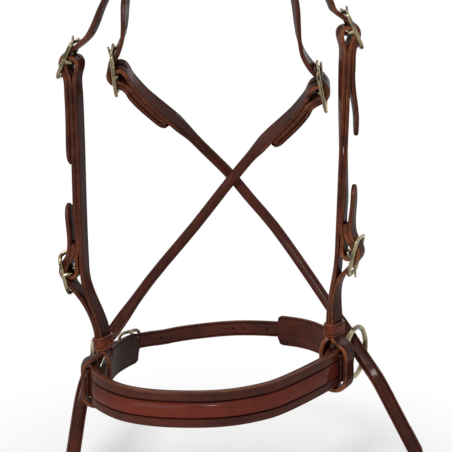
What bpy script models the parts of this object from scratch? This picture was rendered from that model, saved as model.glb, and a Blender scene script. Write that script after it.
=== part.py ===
"""Cross-under bitless bridle, hung from its poll seat. Metres, +Z up, +Y towards the back of the head.

The origin is on the flat underside of the crownpiece, where the bridle rests on the poll.
"""

import math

import bmesh
import bpy
from mathutils import Matrix, Vector

mm = 0.001
degree = math.pi / 180

# Leather and clearances
fit = 0.3 * mm
strap_thick = 3.4 * mm
cheek_width = 16 * mm
cross_width = 19 * mm
rolled_diameter = 9 * mm
rein_width = 12 * mm
rein_thick = 3.8 * mm
crown_width = 32 * mm
crown_thick = 5 * mm
seat_half_length = 11 * mm
tip_length = 12 * mm
tip_shares = ((0.45, 0.88), (0.8, 0.6), (1.0, 0.25))
edge_share = 0.3
corner_angles = [math.pi / 8 + i * math.pi / 4 for i in range(8)]

# Hardware
cheek_wire = 3.5 * mm
cheek_buckle_length = 36 * mm
cross_buckle_length = 43 * mm
chin_wire = 2.8 * mm
chin_buckle_length = 24 * mm
buckle_side_play = 1.2 * mm
frame_count = 28
frame_squareness = 0.45
bar_share = 0.86
bar_rise_shares = ((0.0, 0.0), (0.3, 0.12), (0.7, 0.55), (1.0, 1.0))
tongue_share = 0.68
tongue_overhang = 2 * mm
tongue_turn = 250 * degree
tongue_count = 10
fold_radius = 5.2 * mm
fold_count = 9
chape_run = 14 * mm
slot_play = 0.6 * mm
hole_ease = 1.4
ring_count = 32
rein_ring_count = 24
weld_share = 0.001

# Cheekpieces, measured down from the poll and out from the middle
cheek_plane = -12 * mm
left_cheek_out = 115 * mm
left_cheek_drop = 146 * mm
left_foot_out = 109.5 * mm
left_foot_drop = 322 * mm
left_keeper_out = 94.5 * mm
left_keeper_drop = 380 * mm
left_twists = (18 * degree, 17 * degree, 27 * degree)
right_cheek_out = 103 * mm
right_cheek_drop = 122 * mm
right_foot_out = 100 * mm
right_foot_drop = 305 * mm
right_keeper_out = 96.5 * mm
right_keeper_drop = 368 * mm
right_twists = (12 * degree, -20 * degree, -36 * degree)
cheek_lean = 27 * degree
cheek_dip = 28 * degree
low_tilt = 16 * degree
outer_leaves = 44 * mm
bottom_bar_stand = 10 * mm
upper_billet_reach = 74 * mm
lower_billet_reach = 46 * mm
turned_end = 26 * mm
left_billet_lift = 0.6 * mm
right_billet_lift = 4.5 * mm
billet_lift_from = 18 * mm
billet_lift_run = 40 * mm
keeper_height = 11 * mm
keeper_thick = 2.4 * mm
keeper_plane = -20 * mm
hang_run = 15 * mm
hang_outer = 8.4 * mm
hang_inner = 12.8 * mm
hang_drop = 12.5 * mm
hang_depth = 8 * mm
hang_outer_rise = 12 * mm
hang_inner_rise = 15 * mm

# Crownpiece
crown_arch_half = 89 * mm
crown_arch_drop = 97 * mm
arch_sweep = 30 * degree
arch_count = 5
middle_half = 7.9 * mm
middle_plane = 8 * mm
cheek_tail_out = 89 * mm
left_cross_tail_out = 74 * mm
right_cross_tail_out = 62 * mm
tail_turn = 12 * degree

# Noseband loop, as shares of its half width and of its front and back
nose_half_width = 104 * mm
nose_front = 112 * mm
nose_back = 94 * mm
nose_drop = 404.5 * mm
nose_roll = 3.9 * degree
loop_step = 7 * mm
loop_count = 16
mark_count = 160
loop_turn_share = 1 / 400
nose_front_points = 12
nose_plan_shares = (
    (-0.98, -0.11),
    (-0.985, -0.26),
    (-0.93, -0.49),
    (-0.73, -0.76),
    (-0.46, -0.92),
    (-0.13, -1.0),
    (0.12, -1.0),
    (0.34, -0.93),
    (0.5, -0.82),
    (0.75, -0.55),
    (0.93, -0.31),
    (1.02, -0.125),
    (1.03, 0.09),
    (0.96, 0.38),
    (0.79, 0.67),
    (0.53, 0.87),
    (0.18, 0.99),
    (-0.125, 0.98),
    (-0.43, 0.89),
    (-0.7, 0.68),
    (-0.875, 0.4),
    (-0.95, 0.14),
)
nose_width = 30 * mm
nose_end = 6 * mm
backing_thick = 3 * mm
cover_thick = 3.2 * mm
raised_width = 14 * mm
raised_height = 3 * mm
raised_from = 26 * mm
raised_fade = 16 * mm
crown_near = 0.6
crown_near_rise = 0.8
groove_width = 1.6 * mm
groove_depth = 1.1 * mm
nose_half_thick = (backing_thick + fit + cover_thick) / 2

# Rings, their chapes and the guards inside them
ring_inside = 38 * mm
ring_wire = 4.5 * mm
left_ring_turn = -7 * degree
right_ring_turn = 27.5 * degree
ring_chape_width = 12 * mm
ring_chape_thick = 2.8 * mm
ring_chape_leg = 24 * mm
ring_chape_wide = 24 * mm
ring_chape_flare = 10 * mm
chape_offset = nose_half_thick + fit + ring_chape_thick / 2
left_guard_width = 28 * mm
right_guard_width = 27 * mm
guard_thick = 3 * mm
guard_front = 24 * mm
left_guard_back = 79 * mm
right_guard_back = 116 * mm
guard_offset = -(chape_offset + ring_chape_thick / 2 + fit + guard_thick / 2)

# Chin strap
chin_width = 14 * mm
chin_thick = 2.6 * mm
chin_start = 12 * mm
chin_lean = 10 * degree
chin_dip = 12 * degree
chin_buckle_back = 82 * mm
chin_buckle_stand = 2.4 * mm
chin_settle = 30 * mm
chin_approach = 34 * mm
chin_offset = guard_offset + (guard_thick + chin_thick) / 2 + fit

# Crossed jaw straps: shares of the unit, and how far each place goes with the ring that it leads to
cross_plane = 18 * mm
left_cross_out = 81 * mm
left_cross_drop = 159 * mm
left_cross_way = (0.67, 0.235, -0.7)
left_cross_twist = 20 * degree
left_cross_last = (0.83, 0, 0.55)
right_cross_out = 83 * mm
right_cross_drop = 173 * mm
right_cross_way = (-0.63, 0.25, -0.735)
right_cross_twist = 12 * degree
right_cross_last = (-0.95, 0, 0.3)
left_cross_lean = 38 * degree
right_cross_lean = 51 * degree
cross_dip = 28 * degree
cross_step = 7 * mm
cross_lead = 34 * mm
cross_billet_reach = 58 * mm
cross_turned_end = 46 * mm
roll_start = 52 * mm
roll_ease = 30 * mm
rein_flat = 150 * mm
rein_ring_inside = 22 * mm
rein_ring_wire = 3.5 * mm
tail_run = 18 * mm
tail_half = 4.5 * mm
tail_play = 1.2 * mm
tail_count = 8
tail_sewn_count = 4
path_unit = 100 * mm
left_ring_shares = (-1.0192, -0.1232, -4.11448)
right_ring_shares = (1.0608, -0.14, -3.97268)
left_cross_path_shares = (
    (-0.314, 0.400, -2.094, 0.0),
    (-0.108, 0.540, -2.335, 0.0),
    (0.096, 0.680, -2.575, 0.0),
    (0.276, 0.680, -2.795, 0.1),
    (0.482, 0.620, -3.028, 0.3),
    (0.703, 0.480, -3.310, 0.65),
    (0.930, 0.300, -3.612, 1.0),
    (1.040, 0.150, -3.750, 1.0),
    (1.150, 0.030, -3.900, 1.0),
    (1.250, -0.080, -4.030, 1.0),
    (1.340, -0.170, -4.148, 1.0),
    (1.450, -0.210, -4.350, 1.0),
    (1.660, -0.270, -4.750, 1.0),
)
right_cross_path_shares = (
    (0.388, 0.380, -2.232, 0.0),
    (0.130, 0.580, -2.590, 0.0),
    (-0.195, 0.520, -3.001, 0.2),
    (-0.578, 0.380, -3.441, 0.65),
    (-0.880, 0.240, -3.840, 1.0),
    (-0.970, 0.160, -3.935, 1.0),
    (-1.035, 0.100, -4.060, 1.0),
    (-1.100, 0.020, -4.190, 1.0),
    (-1.150, -0.090, -4.370, 1.0),
    (-1.208, -0.270, -4.750, 1.0),
)

parts = bpy.data.collections.new("bitless_bridle")
cutters = bpy.data.collections.new("cutters")


def clear_scene():
    for thing in list(bpy.data.objects):
        bpy.data.objects.remove(thing, do_unlink=True)
    bpy.context.scene.collection.children.link(parts)
    bpy.context.scene.collection.children.link(cutters)


def material(name, colour, roughness, metallic):
    made = bpy.data.materials.new(name)
    made.use_nodes = True
    shader = made.node_tree.nodes["Principled BSDF"]
    shader.inputs["Base Color"].default_value = (*colour, 1)
    shader.inputs["Roughness"].default_value = roughness
    shader.inputs["Metallic"].default_value = metallic
    return made


finishes = {
    "leather": ((0.07, 0.018, 0.011), 0.42, 0.0),
    "keeper": ((0.15, 0.032, 0.012), 0.38, 0.0),
    "metal": ((0.6, 0.56, 0.47), 0.18, 1.0),
}


def place_part(name, mesh, finish):
    piece = bpy.data.objects.new(name, mesh)
    colour, roughness, metallic = finishes[finish]
    mesh.materials.clear()
    mesh.materials.append(material(name, colour, roughness, metallic))
    parts.objects.link(piece)
    return piece


def hang_on(piece, place):
    """Puts a moving piece's origin on its joint."""
    piece.data.transform(Matrix.Translation(-place))
    piece.location = place
    return piece


def place_cutter(name, mesh):
    piece = bpy.data.objects.new(name, mesh)
    piece.hide_render = True
    piece.display_type = "WIRE"
    cutters.objects.link(piece)
    return piece


def boolean(piece, other, operation):
    cut = piece.modifiers.new(other.name, "BOOLEAN")
    cut.operation = operation
    cut.object = other
    cut.solver = "EXACT"


class Station:
    """A cross-section's place on a strap: its centre, the way across the strap and its half sizes."""

    def __init__(self, place, across, half, deep=strap_thick / 2, roundness=0.0):
        self.place = Vector(place)
        self.across = Vector(across).normalized()
        self.half = half
        self.deep = deep
        self.roundness = roundness

    def moved(self, place, half=None):
        return Station(place, self.across, self.half if half is None else half, self.deep, self.roundness)


def mixed(first, last, share, place):
    """A station between two others, with its own place."""
    keep = 1 - share
    return Station(
        place,
        first.across * keep + last.across * share,
        first.half * keep + last.half * share,
        first.deep * keep + last.deep * share,
        first.roundness * keep + last.roundness * share,
    )


def smooth(share):
    return share * share * (3 - 2 * share)


def bridge(first, way_out, last, way_in, count, pull=1.0):
    """Stations of the curve that leaves one station and arrives at another, both left out."""
    reach = (last.place - first.place).length * pull
    start, end = way_out.normalized() * reach, way_in.normalized() * reach
    made = []
    for step in range(1, count + 1):
        t = step / (count + 1)
        place = (
            first.place * (2 * t**3 - 3 * t**2 + 1)
            + start * (t**3 - 2 * t**2 + t)
            + last.place * (3 * t**2 - 2 * t**3)
            + end * (t**3 - t**2)
        )
        made.append(mixed(first, last, smooth(t), place))
    return made


def ways(stations):
    """The direction of travel at each station."""
    places = [station.place for station in stations]
    last = len(places) - 1
    return [(places[min(i + 1, last)] - places[max(i - 1, 0)]).normalized() for i in range(last + 1)]


def shifted(stations, offsets, outward):
    """The stations moved sideways, square to the strap, towards the side that outward names."""
    made = []
    for station, way, offset in zip(stations, ways(stations), offsets):
        normal = way.cross(station.across).normalized()
        if normal.dot(outward) < 0:
            normal = -normal
        made.append(station.moved(station.place + normal * offset))
    return made


def flat_strap(name, stations, thick, finish="leather"):
    """A strap as an open strip that follows its stations, thickened."""
    body = bmesh.new()
    count = len(stations) - 1
    bmesh.ops.create_grid(body, x_segments=count, y_segments=1, size=0.5)
    for vert in body.verts:
        station = stations[round((vert.co.x + 0.5) * count)]
        side = 1 if vert.co.y > 0 else -1
        vert.co = station.place + station.across * (side * station.half)
    mesh = bpy.data.meshes.new(name)
    body.to_mesh(mesh)
    body.free()
    strap = place_part(name, mesh, finish)
    wall = strap.modifiers.new("thickness", "SOLIDIFY")
    wall.thickness = thick
    wall.offset = 0
    wall.use_even_offset = True
    return strap


def loft(name, stations, sections, finish="leather"):
    """A closed skin over unlike cross-sections, each a ring of points across and out from its station."""
    body = bmesh.new()
    rings = []
    for station, way, section in zip(stations, ways(stations), sections):
        across = (station.across - way * station.across.dot(way)).normalized()
        out = way.cross(across)
        rings.append([body.verts.new(station.place + across * a + out * b) for a, b in section])
    sides = len(rings[0])
    for near, far in zip(rings, rings[1:]):
        for i in range(sides):
            j = (i + 1) % sides
            body.faces.new((near[i], near[j], far[j], far[i]))
    body.faces.new(rings[0])
    body.faces.new(rings[-1])
    bmesh.ops.recalc_face_normals(body, faces=body.faces)
    mesh = bpy.data.meshes.new(name)
    body.to_mesh(mesh)
    body.free()
    return place_part(name, mesh, finish)


def strap_section(station):
    """Eight corners: a flat strap with eased edges, or an even octagon where the strap is rolled."""
    a, b = station.half, station.deep
    ease = b * 2 * edge_share
    flat = [(a, b - ease), (a - ease, b), (ease - a, b), (-a, b - ease)]
    flat += [(-x, -y) for x, y in flat]
    return [
        (
            x * (1 - station.roundness) + a * math.cos(angle) * station.roundness,
            y * (1 - station.roundness) + b * math.sin(angle) * station.roundness,
        )
        for (x, y), angle in zip(flat, corner_angles)
    ]


def tube(name, places, radius, closed=False):
    """A round wire through the places, as a welded mesh."""
    curve = bpy.data.curves.new(name, "CURVE")
    curve.dimensions = "3D"
    curve.bevel_depth = radius
    curve.bevel_resolution = 2
    curve.use_fill_caps = not closed
    line = curve.splines.new("POLY")
    line.points.add(len(places) - 1)
    for point, place in zip(line.points, places):
        point.co = (*place, 1)
    line.use_cyclic_u = closed
    wire = bpy.data.objects.new(name, curve)
    bpy.context.scene.collection.objects.link(wire)
    graph = bpy.context.evaluated_depsgraph_get()
    mesh = bpy.data.meshes.new_from_object(wire.evaluated_get(graph))
    bpy.data.objects.remove(wire, do_unlink=True)
    body = bmesh.new()
    body.from_mesh(mesh)
    bmesh.ops.remove_doubles(body, verts=body.verts, dist=radius * weld_share)
    bmesh.ops.recalc_face_normals(body, faces=body.faces)
    body.to_mesh(mesh)
    body.free()
    mesh.name = name
    mesh.shade_smooth()
    return mesh


def cylinder_cutter(name, centre, axis, radius, depth, stretch_way=None, stretch=1.0, segments=12):
    body = bmesh.new()
    bmesh.ops.create_cone(
        body, cap_ends=True, segments=segments, radius1=radius, radius2=radius, depth=depth
    )
    z = axis.normalized()
    x = (stretch_way if stretch_way else z.orthogonal()).normalized()
    x = (x - z * x.dot(z)).normalized()
    turn = Matrix((x, z.cross(x), z)).transposed().to_4x4()
    size = Matrix.Diagonal((stretch, 1, 1, 1))
    bmesh.ops.transform(body, matrix=Matrix.Translation(centre) @ turn @ size, verts=body.verts)
    mesh = bpy.data.meshes.new(name)
    body.to_mesh(mesh)
    body.free()
    return mesh


def joined(name, meshes):
    """Separate closed cutters as one mesh."""
    body = bmesh.new()
    for mesh in meshes:
        body.from_mesh(mesh)
    made = bpy.data.meshes.new(name)
    body.to_mesh(made)
    body.free()
    return made


class Buckle:
    """An oval frame with a dropped bar, and the places of the straps that go round it.

    s runs from the bar down the chape and o runs outward from the chape's middle plane. In the frame's
    own axes, v points to the end that the billet comes in under and w points outward.
    """

    def __init__(self, name, bar, chape_way, across, outward, width, length, wire, thick, fold, lean, dip):
        self.name = name
        self.bar = Vector(bar)
        self.down = chape_way.normalized()
        self.across = (across - self.down * across.dot(self.down)).normalized()
        out = self.down.cross(self.across)
        self.out = out if out.dot(outward) > 0 else -out
        self.width, self.wire, self.thick, self.fold = width, wire, thick, fold
        self.lean, self.dip = lean, dip
        self.half_length = (length - wire) / 2
        self.half_width = (width + wire) / 2 + buckle_side_play
        self.wire_radius = wire / 2
        self.bar_radius = self.wire_radius * bar_share
        self.step = thick + fit
        self.over = fold + self.step
        self.seat = fold - thick / 2 - self.bar_radius - fit
        self.v = -self.down * math.cos(lean) - self.out * math.sin(lean)
        self.w = self.out * math.cos(lean) - self.down * math.sin(lean)
        top = self.over + thick / 2 + self.wire_radius + fit * 3
        top -= self.seat * math.cos(math.pi / 2 - dip - lean)
        self.inset = (top - self.half_length * math.sin(dip)) / math.cos(dip)

    def at(self, s, o):
        return self.bar + self.down * s + self.out * o

    def local(self, u, v, w):
        return self.bar + self.across * u + self.v * v + self.w * w

    def round_fold(self, radius, angle):
        """A place round the fold's centre: angle 0 is its far end, a right angle is its outer side."""
        return self.at(self.seat - radius * math.cos(angle), radius * math.sin(angle))

    def station(self, place, width=None):
        return Station(place, self.across, (width or self.width) / 2, self.thick / 2)

    def gather(self, s):
        """How far a leg of the chape stands off the middle plane, s down from the bar."""
        share = smooth(min(1.0, max(0.0, (s - self.seat) / chape_run)))
        return self.fold * (1 - share) + self.step / 2 * share

    def leg(self, side, extra=0.0, count=4):
        """Stations of one leg from the bar to where the two legs lie together."""
        marks = [self.seat + chape_run * i / count for i in range(1, count + 1)]
        return [self.station(self.at(s, side * (self.gather(s) + extra))) for s in marks]

    def chape(self, count=fold_count):
        """The folded end: up the inner leg, round the bar and down the outer leg."""
        arc = [math.pi * (i / (count - 1) - 0.5) for i in range(count)]
        turn = [self.station(self.round_fold(self.fold, angle)) for angle in arc]
        return self.leg(-1)[::-1] + turn + self.leg(1)

    def billet(self, count=4):
        """The billet from where it comes in, over the fold, to the end of the gathered legs."""
        last = math.pi / 2 - self.dip - self.lean
        arc = [last + (math.pi / 2 - last) * i / (count - 1) for i in range(count)]
        turn = [self.station(self.round_fold(self.over, angle)) for angle in arc]
        way = self.billet_way()
        run = self.half_length * math.cos(self.dip) + self.wire
        lead = [self.station(turn[0].place + way * run * share) for share in (1, 0.5)]
        return lead + turn + self.leg(1, self.step)

    def billet_way(self):
        """The way back up the billet from the fold, under the frame's end."""
        angle = self.dip + self.lean
        return -self.down * math.cos(angle) - self.out * math.sin(angle)

    def frame(self):
        places = []
        for i in range(frame_count):
            angle = 2 * math.pi * i / frame_count
            x, y = math.cos(angle), math.sin(angle)
            u = self.half_width * math.copysign(abs(x) ** frame_squareness, x)
            v = self.half_length * math.copysign(abs(y) ** frame_squareness, y)
            places.append(self.local(u, v, self.inset))
        ring = place_part(self.name, tube(self.name, places, self.wire_radius, True), "metal")
        room = self.width / 2 + fit * 2
        rise = self.half_width - room
        side = [(room + rise * a, self.inset * b) for a, b in bar_rise_shares]
        line = [(-u, w) for u, w in side[::-1]] + side
        bar = tube(self.name + "_bar", [self.local(u, 0, w) for u, w in line], self.bar_radius)
        boolean(ring, place_cutter(self.name + "_bar", bar), "UNION")
        return ring

    def tongue_line(self):
        """The tongue's angle in the frame's plane and the radius of its curl round the bar."""
        wire = self.bar_radius * tongue_share
        curl = self.bar_radius + fit + wire
        clear = self.wire_radius + wire + fit
        far = math.hypot(self.half_length, self.inset)
        angle = math.atan2(self.inset, self.half_length) - math.asin((curl - clear) / far)
        return angle, curl, wire

    def tongue(self):
        angle, curl, wire = self.tongue_line()
        start = angle + math.pi / 2
        places = []
        for i in range(tongue_count, -1, -1):
            a = start + tongue_turn * i / tongue_count
            places.append(self.local(0, curl * math.cos(a), curl * math.sin(a)))
        reach = math.hypot(self.half_length, self.inset) + self.wire_radius + tongue_overhang
        for share in (0.5, 1.0):
            v = curl * math.cos(start) + reach * share * math.cos(angle)
            w = curl * math.sin(start) + reach * share * math.sin(angle)
            places.append(self.local(0, v, w))
        name = self.name.replace("buckle", "tongue")
        return hang_on(place_part(name, tube(name, places, wire), "metal"), self.bar)

    def chape_slot(self):
        """The long hole in the fold that the tongue's curl sits in."""
        angle, curl, wire = self.tongue_line()
        centre = self.at(self.seat, 0)
        radius = self.fold + self.step / 2
        return cylinder_cutter("slot", centre, self.across, radius, (wire + slot_play) * 2, segments=16)

    def billet_hole(self):
        """The long hole that the tongue comes through, where the two cross."""
        angle, curl, wire = self.tongue_line()
        start = self.local(
            0, curl * math.cos(angle + math.pi / 2), curl * math.sin(angle + math.pi / 2)
        )
        way = self.v * math.cos(angle) + self.w * math.sin(angle)
        arc = math.pi / 2 - self.dip - self.lean
        normal = -self.down * math.cos(arc) + self.out * math.sin(arc)
        centre = self.at(self.seat, 0)
        run = (self.over - (start - centre).dot(normal)) / way.dot(normal)
        place = start + way * run
        radius = wire + slot_play
        longer = (self.thick + radius * 2) / radius / hole_ease
        depth = self.thick * 3
        return cylinder_cutter("hole", place, normal, radius, depth, self.billet_way(), longer)


def tapered_tip(stations, way, length=tip_length):
    """The stations with a rounded point added past the last one."""
    last = stations[-1]
    made = list(stations)
    for run_share, width_share in tip_shares:
        made.append(last.moved(last.place + way * length * run_share, last.half * width_share))
    return made


def ring_mesh(name, centre, plane_way, up, major, minor, hinge, count=ring_count):
    """A ring round its centre, in the plane of the two ways given, that turns about its hinge place."""
    places = []
    for i in range(count):
        angle = 2 * math.pi * i / count
        places.append(centre + plane_way * (major * math.cos(angle)) + up * (major * math.sin(angle)))
    return hang_on(place_part(name, tube(name, places, minor, True), "metal"), hinge)


class Loop:
    """The closed curve that the noseband and chin strap follow, seen from above, on one tilted plane.

    Run 0 is where the left ring's strap turns. Runs grow forward over the nose to the right ring at
    front_run, and go on round the back to the left again.
    """

    def __init__(self, shares, front_count):
        points = [
            Vector((x * nose_half_width, y * (nose_front if y < 0 else nose_back), 0)) for x, y in shares
        ]
        count = len(points)
        self.dense = []
        for i in range(count):
            a, b, c, d = (points[(i + k) % count] for k in (-1, 0, 1, 2))
            for step in range(loop_count):
                t = step / loop_count
                place = (b * 2 + (c - a) * t + (a * 2 - b * 5 + c * 4 - d) * t**2) / 2
                place += (b * 3 - a - c * 3 + d) * t**3 / 2
                place.z = place.x * math.tan(nose_roll) - nose_drop
                self.dense.append(place)
        self.runs = [0.0]
        for near, far in zip(self.dense, self.dense[1:] + self.dense[:1]):
            self.runs.append(self.runs[-1] + (far - near).length)
        self.length = self.runs[-1]
        self.front_run = self.runs[loop_count * (front_count - 1)]

    def plain(self, run):
        run %= self.length
        count = len(self.dense)
        low = max(i for i in range(count) if self.runs[i] <= run)
        share = (run - self.runs[low]) / (self.runs[low + 1] - self.runs[low])
        return self.dense[low].lerp(self.dense[(low + 1) % count], share)

    def frame(self, run):
        """The place, the way forward and the outward side at a run."""
        small = self.length * loop_turn_share
        way = (self.plain(run + small) - self.plain(run - small)).normalized()
        up = Vector((0, 0, 1))
        out = way.cross(up).normalized()
        place = self.plain(run)
        if out.dot(Vector((place.x, place.y, 0))) < 0:
            out = -out
        return place, way, out

    def station(self, run, offset, half, thick):
        place, way, out = self.frame(run)
        return Station(place + out * offset, out.cross(way), half, thick / 2)

    def marks(self, start, end):
        """Runs from start to end on one even grid, so that layers share their facets."""
        step = self.length / round(self.length / loop_step)
        low, high = min(start, end), max(start, end)
        inner = [i * step for i in range(-mark_count, mark_count)]
        inner = [run for run in inner if low + step / 4 < run < high - step / 4]
        runs = [low] + inner + [high]
        return runs if end > start else runs[::-1]

    def strap(self, start, end, offset, half, thick):
        return [self.station(run, offset, half, thick) for run in self.marks(start, end)]


def along(stations, layer, outward):
    return shifted(stations, [layer] * len(stations), outward)


def stretch(stations, start, end):
    """The stations between two distances along them, with new ones at the cuts."""
    made = []
    run = 0.0
    for near, far in zip(stations, stations[1:]):
        piece = (far.place - near.place).length
        if start <= run <= end:
            made.append(near)
        for cut in (start, end):
            if run < cut < run + piece:
                share = (cut - run) / piece
                made.append(mixed(near, far, share, near.place.lerp(far.place, share)))
        run += piece
    return made


def settle(stations, first, last, hold, ease, outward):
    """The stations lifted by the first offset for a distance, then eased to the last offset."""
    offsets = []
    run = 0.0
    for i, station in enumerate(stations):
        if i:
            run += (station.place - stations[i - 1].place).length
        share = smooth(min(1.0, max(0.0, (run - hold) / ease)))
        offsets.append(first * (1 - share) + last * share)
    return shifted(stations, offsets, outward)


def even(stations, spacing):
    """The same run with stations at an even spacing."""
    length = sum((b.place - a.place).length for a, b in zip(stations, stations[1:]))
    count = max(2, round(length / spacing))
    made = [stations[0]]
    for i in range(1, count):
        made += stretch(stations, length * i / count, length * 2)[:1]
    return made + [stations[-1]]


class Cheek:
    """One side's cheekpiece: both its buckles, the keeper, and the places of its layers."""

    def __init__(self, side, name, bar, foot, twists, keeper):
        self.side, self.name = side, name
        self.outward = Vector((side, 0, 0))
        self.step = strap_thick + fit
        bar = Vector((side * bar[0], cheek_plane, -bar[1]))
        foot = Vector((side * foot[0], cheek_plane, -foot[1]))
        down = (foot - bar - self.outward * self.step / 2).normalized()
        self.top = self.buckle("top", bar, down, self.turned(twists[0]))
        across = self.turned(twists[1])
        stand = down.cross(across)
        stand = stand if stand.dot(self.outward) > 0 else -stand
        up = -down * math.cos(low_tilt) - stand * math.sin(low_tilt)
        self.low = self.buckle("low", foot + stand * bottom_bar_stand, up, across)
        self.foot = Station(foot, across, cheek_width / 2)
        place = Vector((side * keeper[0], keeper_plane, -keeper[1]))
        self.keeper = Station(place, self.turned(twists[2]), cheek_width / 2)
        axis = (foot - place).normalized() + Vector((0, 0, 1))
        self.keeper_up = (axis - self.keeper.across * axis.dot(self.keeper.across)).normalized()

    def buckle(self, level, bar, chape_way, across):
        name = self.name + "_" + level + "_buckle"
        size = (cheek_width, cheek_buckle_length, cheek_wire, strap_thick)
        return Buckle(name, bar, chape_way, across, self.outward, *size, fold_radius, cheek_lean, cheek_dip)

    def turned(self, angle):
        """The way across a strap that shows its inner face by this angle from the front."""
        return Vector((-self.side * math.sin(angle), math.cos(angle), 0))

    def hang(self, loop, run):
        """The loop under the noseband, from the keeper's inner place to its outer place."""
        place, way, out = loop.frame(run)
        up = Vector((0, 0, 1))
        across = way if way.dot(self.keeper.across) > 0 else -way
        radius = (hang_outer + hang_inner) / 2
        middle = (hang_outer - hang_inner) / 2

        def spot(offset, rise):
            return Station(place + out * offset + up * rise, across, cheek_width / 2)

        made = [spot(-hang_inner, hang_inner_rise), spot(-hang_inner, 0)]
        turns = 10
        for i in range(turns + 1):
            angle = math.pi * i / turns
            made.append(spot(middle - radius * math.cos(angle), -hang_drop - hang_depth * math.sin(angle)))
        made += [spot(hang_outer, 0), spot(hang_outer, hang_outer_rise)]
        rise = self.keeper_up * (keeper_height / 2 + fit)
        side = self.keeper_up.cross(self.keeper.across)
        side = side if side.dot(self.outward) > 0 else -side
        ends = []
        for layer, lift in ((-1, 1), (-1, -1), (1, -1), (1, 1)):
            ends.append(self.keeper.moved(self.keeper.place + side * layer * self.step / 2 + rise * lift))
        down = -up
        before = bridge(ends[1], -rise, made[0], down, 3)
        after = bridge(made[-1], up, ends[2], rise, 4)
        return ends[:2] + before + made + after + ends[2:]

    def layers(self, loop, run):
        """All stations of the cheekpiece, and the line that the crown's billet lies on."""
        top_inner, top_outer = self.top.leg(-1), self.top.leg(1)
        down = self.top.down
        hang = self.hang(loop, run)
        inner = [top_inner[-1]] + bridge(top_inner[-1], down, self.foot, down, 14) + [self.foot]
        to_keeper = bridge(self.foot, down, hang[0], -self.keeper_up, 6)
        beside = along(inner, self.step, self.outward)
        stay = [s for s in beside[1:] if s.place.z > self.low.bar.z + outer_leaves]
        low_inner = self.low.leg(-1)[-1]
        rise = [low_inner] + bridge(low_inner, self.low.down, stay[-1], -down, 5) + stay[::-1]
        fall = rise[::-1]
        low_turn = self.low.chape()
        grip = low_turn[-1].place - self.low.bar
        turned = stretch(along(rise, self.step, self.outward), 0, turned_end - grip.length)
        billet = self.low.billet()
        lie = stretch(along(rise, self.step * 2, self.outward), 0, lower_billet_reach - grip.length)[1:]
        hang_up = bridge(hang[-1], self.keeper_up, billet[0], -self.low.billet_way(), 5)
        tip = tapered_tip(billet + lie, (lie[-1].place - lie[-2].place).normalized())
        path = turned[:0:-1] + low_turn[::-1] + rise[1:]
        path += self.top.chape()[::-1] + inner[1:] + to_keeper + hang + hang_up + tip
        self.fall = [top_outer[-1]] + fall
        return path

    def rest(self, lift):
        """Where the crown's billet lies, with its tip standing off by a lift."""
        last = self.step + lift
        return settle(self.fall, self.step, last, billet_lift_from, billet_lift_run, self.outward)


def crown_arch(side, angle, plane):
    """A place on the crownpiece's middle surface, by the angle turned past the flat seat."""
    x = seat_half_length + (crown_arch_half - seat_half_length) * math.sin(angle)
    z = -crown_arch_drop * (1 - math.cos(angle))
    return Vector((side * x, plane, z + crown_thick / 2))


def crown_tail(side, buckle, plane, width, out, rest, reach):
    """One strap of the crownpiece from the poll's middle over its buckle's fold to its tip."""
    fore = Vector((0, 1, 0))
    start = math.copysign(middle_plane, plane)
    made = []
    for i in range(arch_count + 1):
        made.append(Station(crown_arch(side, arch_sweep * i / arch_count, start), fore, middle_half))
    across = Vector((-side * math.sin(tail_turn), math.cos(tail_turn), 0))
    level = Station((side * out, plane, -crown_arch_drop), across, width / 2)
    billet = buckle.billet()
    way = (billet[0].place - level.place).normalized()
    made += bridge(made[-1], made[-1].place - made[-2].place, level, way, 5) + [level]
    made += bridge(level, way, billet[0], -buckle.billet_way(), 4) + billet
    grip = (billet[-1].place - buckle.bar).length
    lie = stretch(rest, 0, reach - grip)[1:]
    return tapered_tip(made + lie, (lie[-1].place - lie[-2].place).normalized())


def crownpiece(tails):
    """The split crown strap: a plate with the flat poll seat, and two straps sewn through it."""
    fore = Vector((0, 1, 0))
    half = crown_width / 2
    angles = [arch_sweep * i / arch_count for i in range(arch_count + 1)]
    plate = [Station(crown_arch(1, angle, 0), fore, half) for angle in angles]
    plate = [s.moved(Vector((-s.place.x, s.place.y, s.place.z))) for s in plate[::-1]] + plate
    crown = flat_strap("crownpiece", plate, crown_thick)
    for name, left, right in tails:
        strap = flat_strap(name, left[::-1] + right, strap_thick)
        parts.objects.unlink(strap)
        cutters.objects.link(strap)
        strap.hide_render = True
        strap.display_type = "WIRE"
        boolean(crown, strap, "UNION")
    return crown


def rounded_block(name, size, place, axes, ease, finish="keeper"):
    """A box on its own axes with eased edges."""
    body = bmesh.new()
    bmesh.ops.create_cube(body, size=1)
    turn = Matrix(axes).transposed().to_4x4()
    shape = Matrix.Translation(place) @ turn @ Matrix.Diagonal((*size, 1))
    bmesh.ops.transform(body, matrix=shape, verts=body.verts)
    if ease:
        bmesh.ops.bevel(
            body, geom=body.edges[:], offset=ease, segments=2, profile=0.5, affect="EDGES", material=-1
        )
    mesh = bpy.data.meshes.new(name)
    body.to_mesh(mesh)
    body.free()
    return mesh


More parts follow.
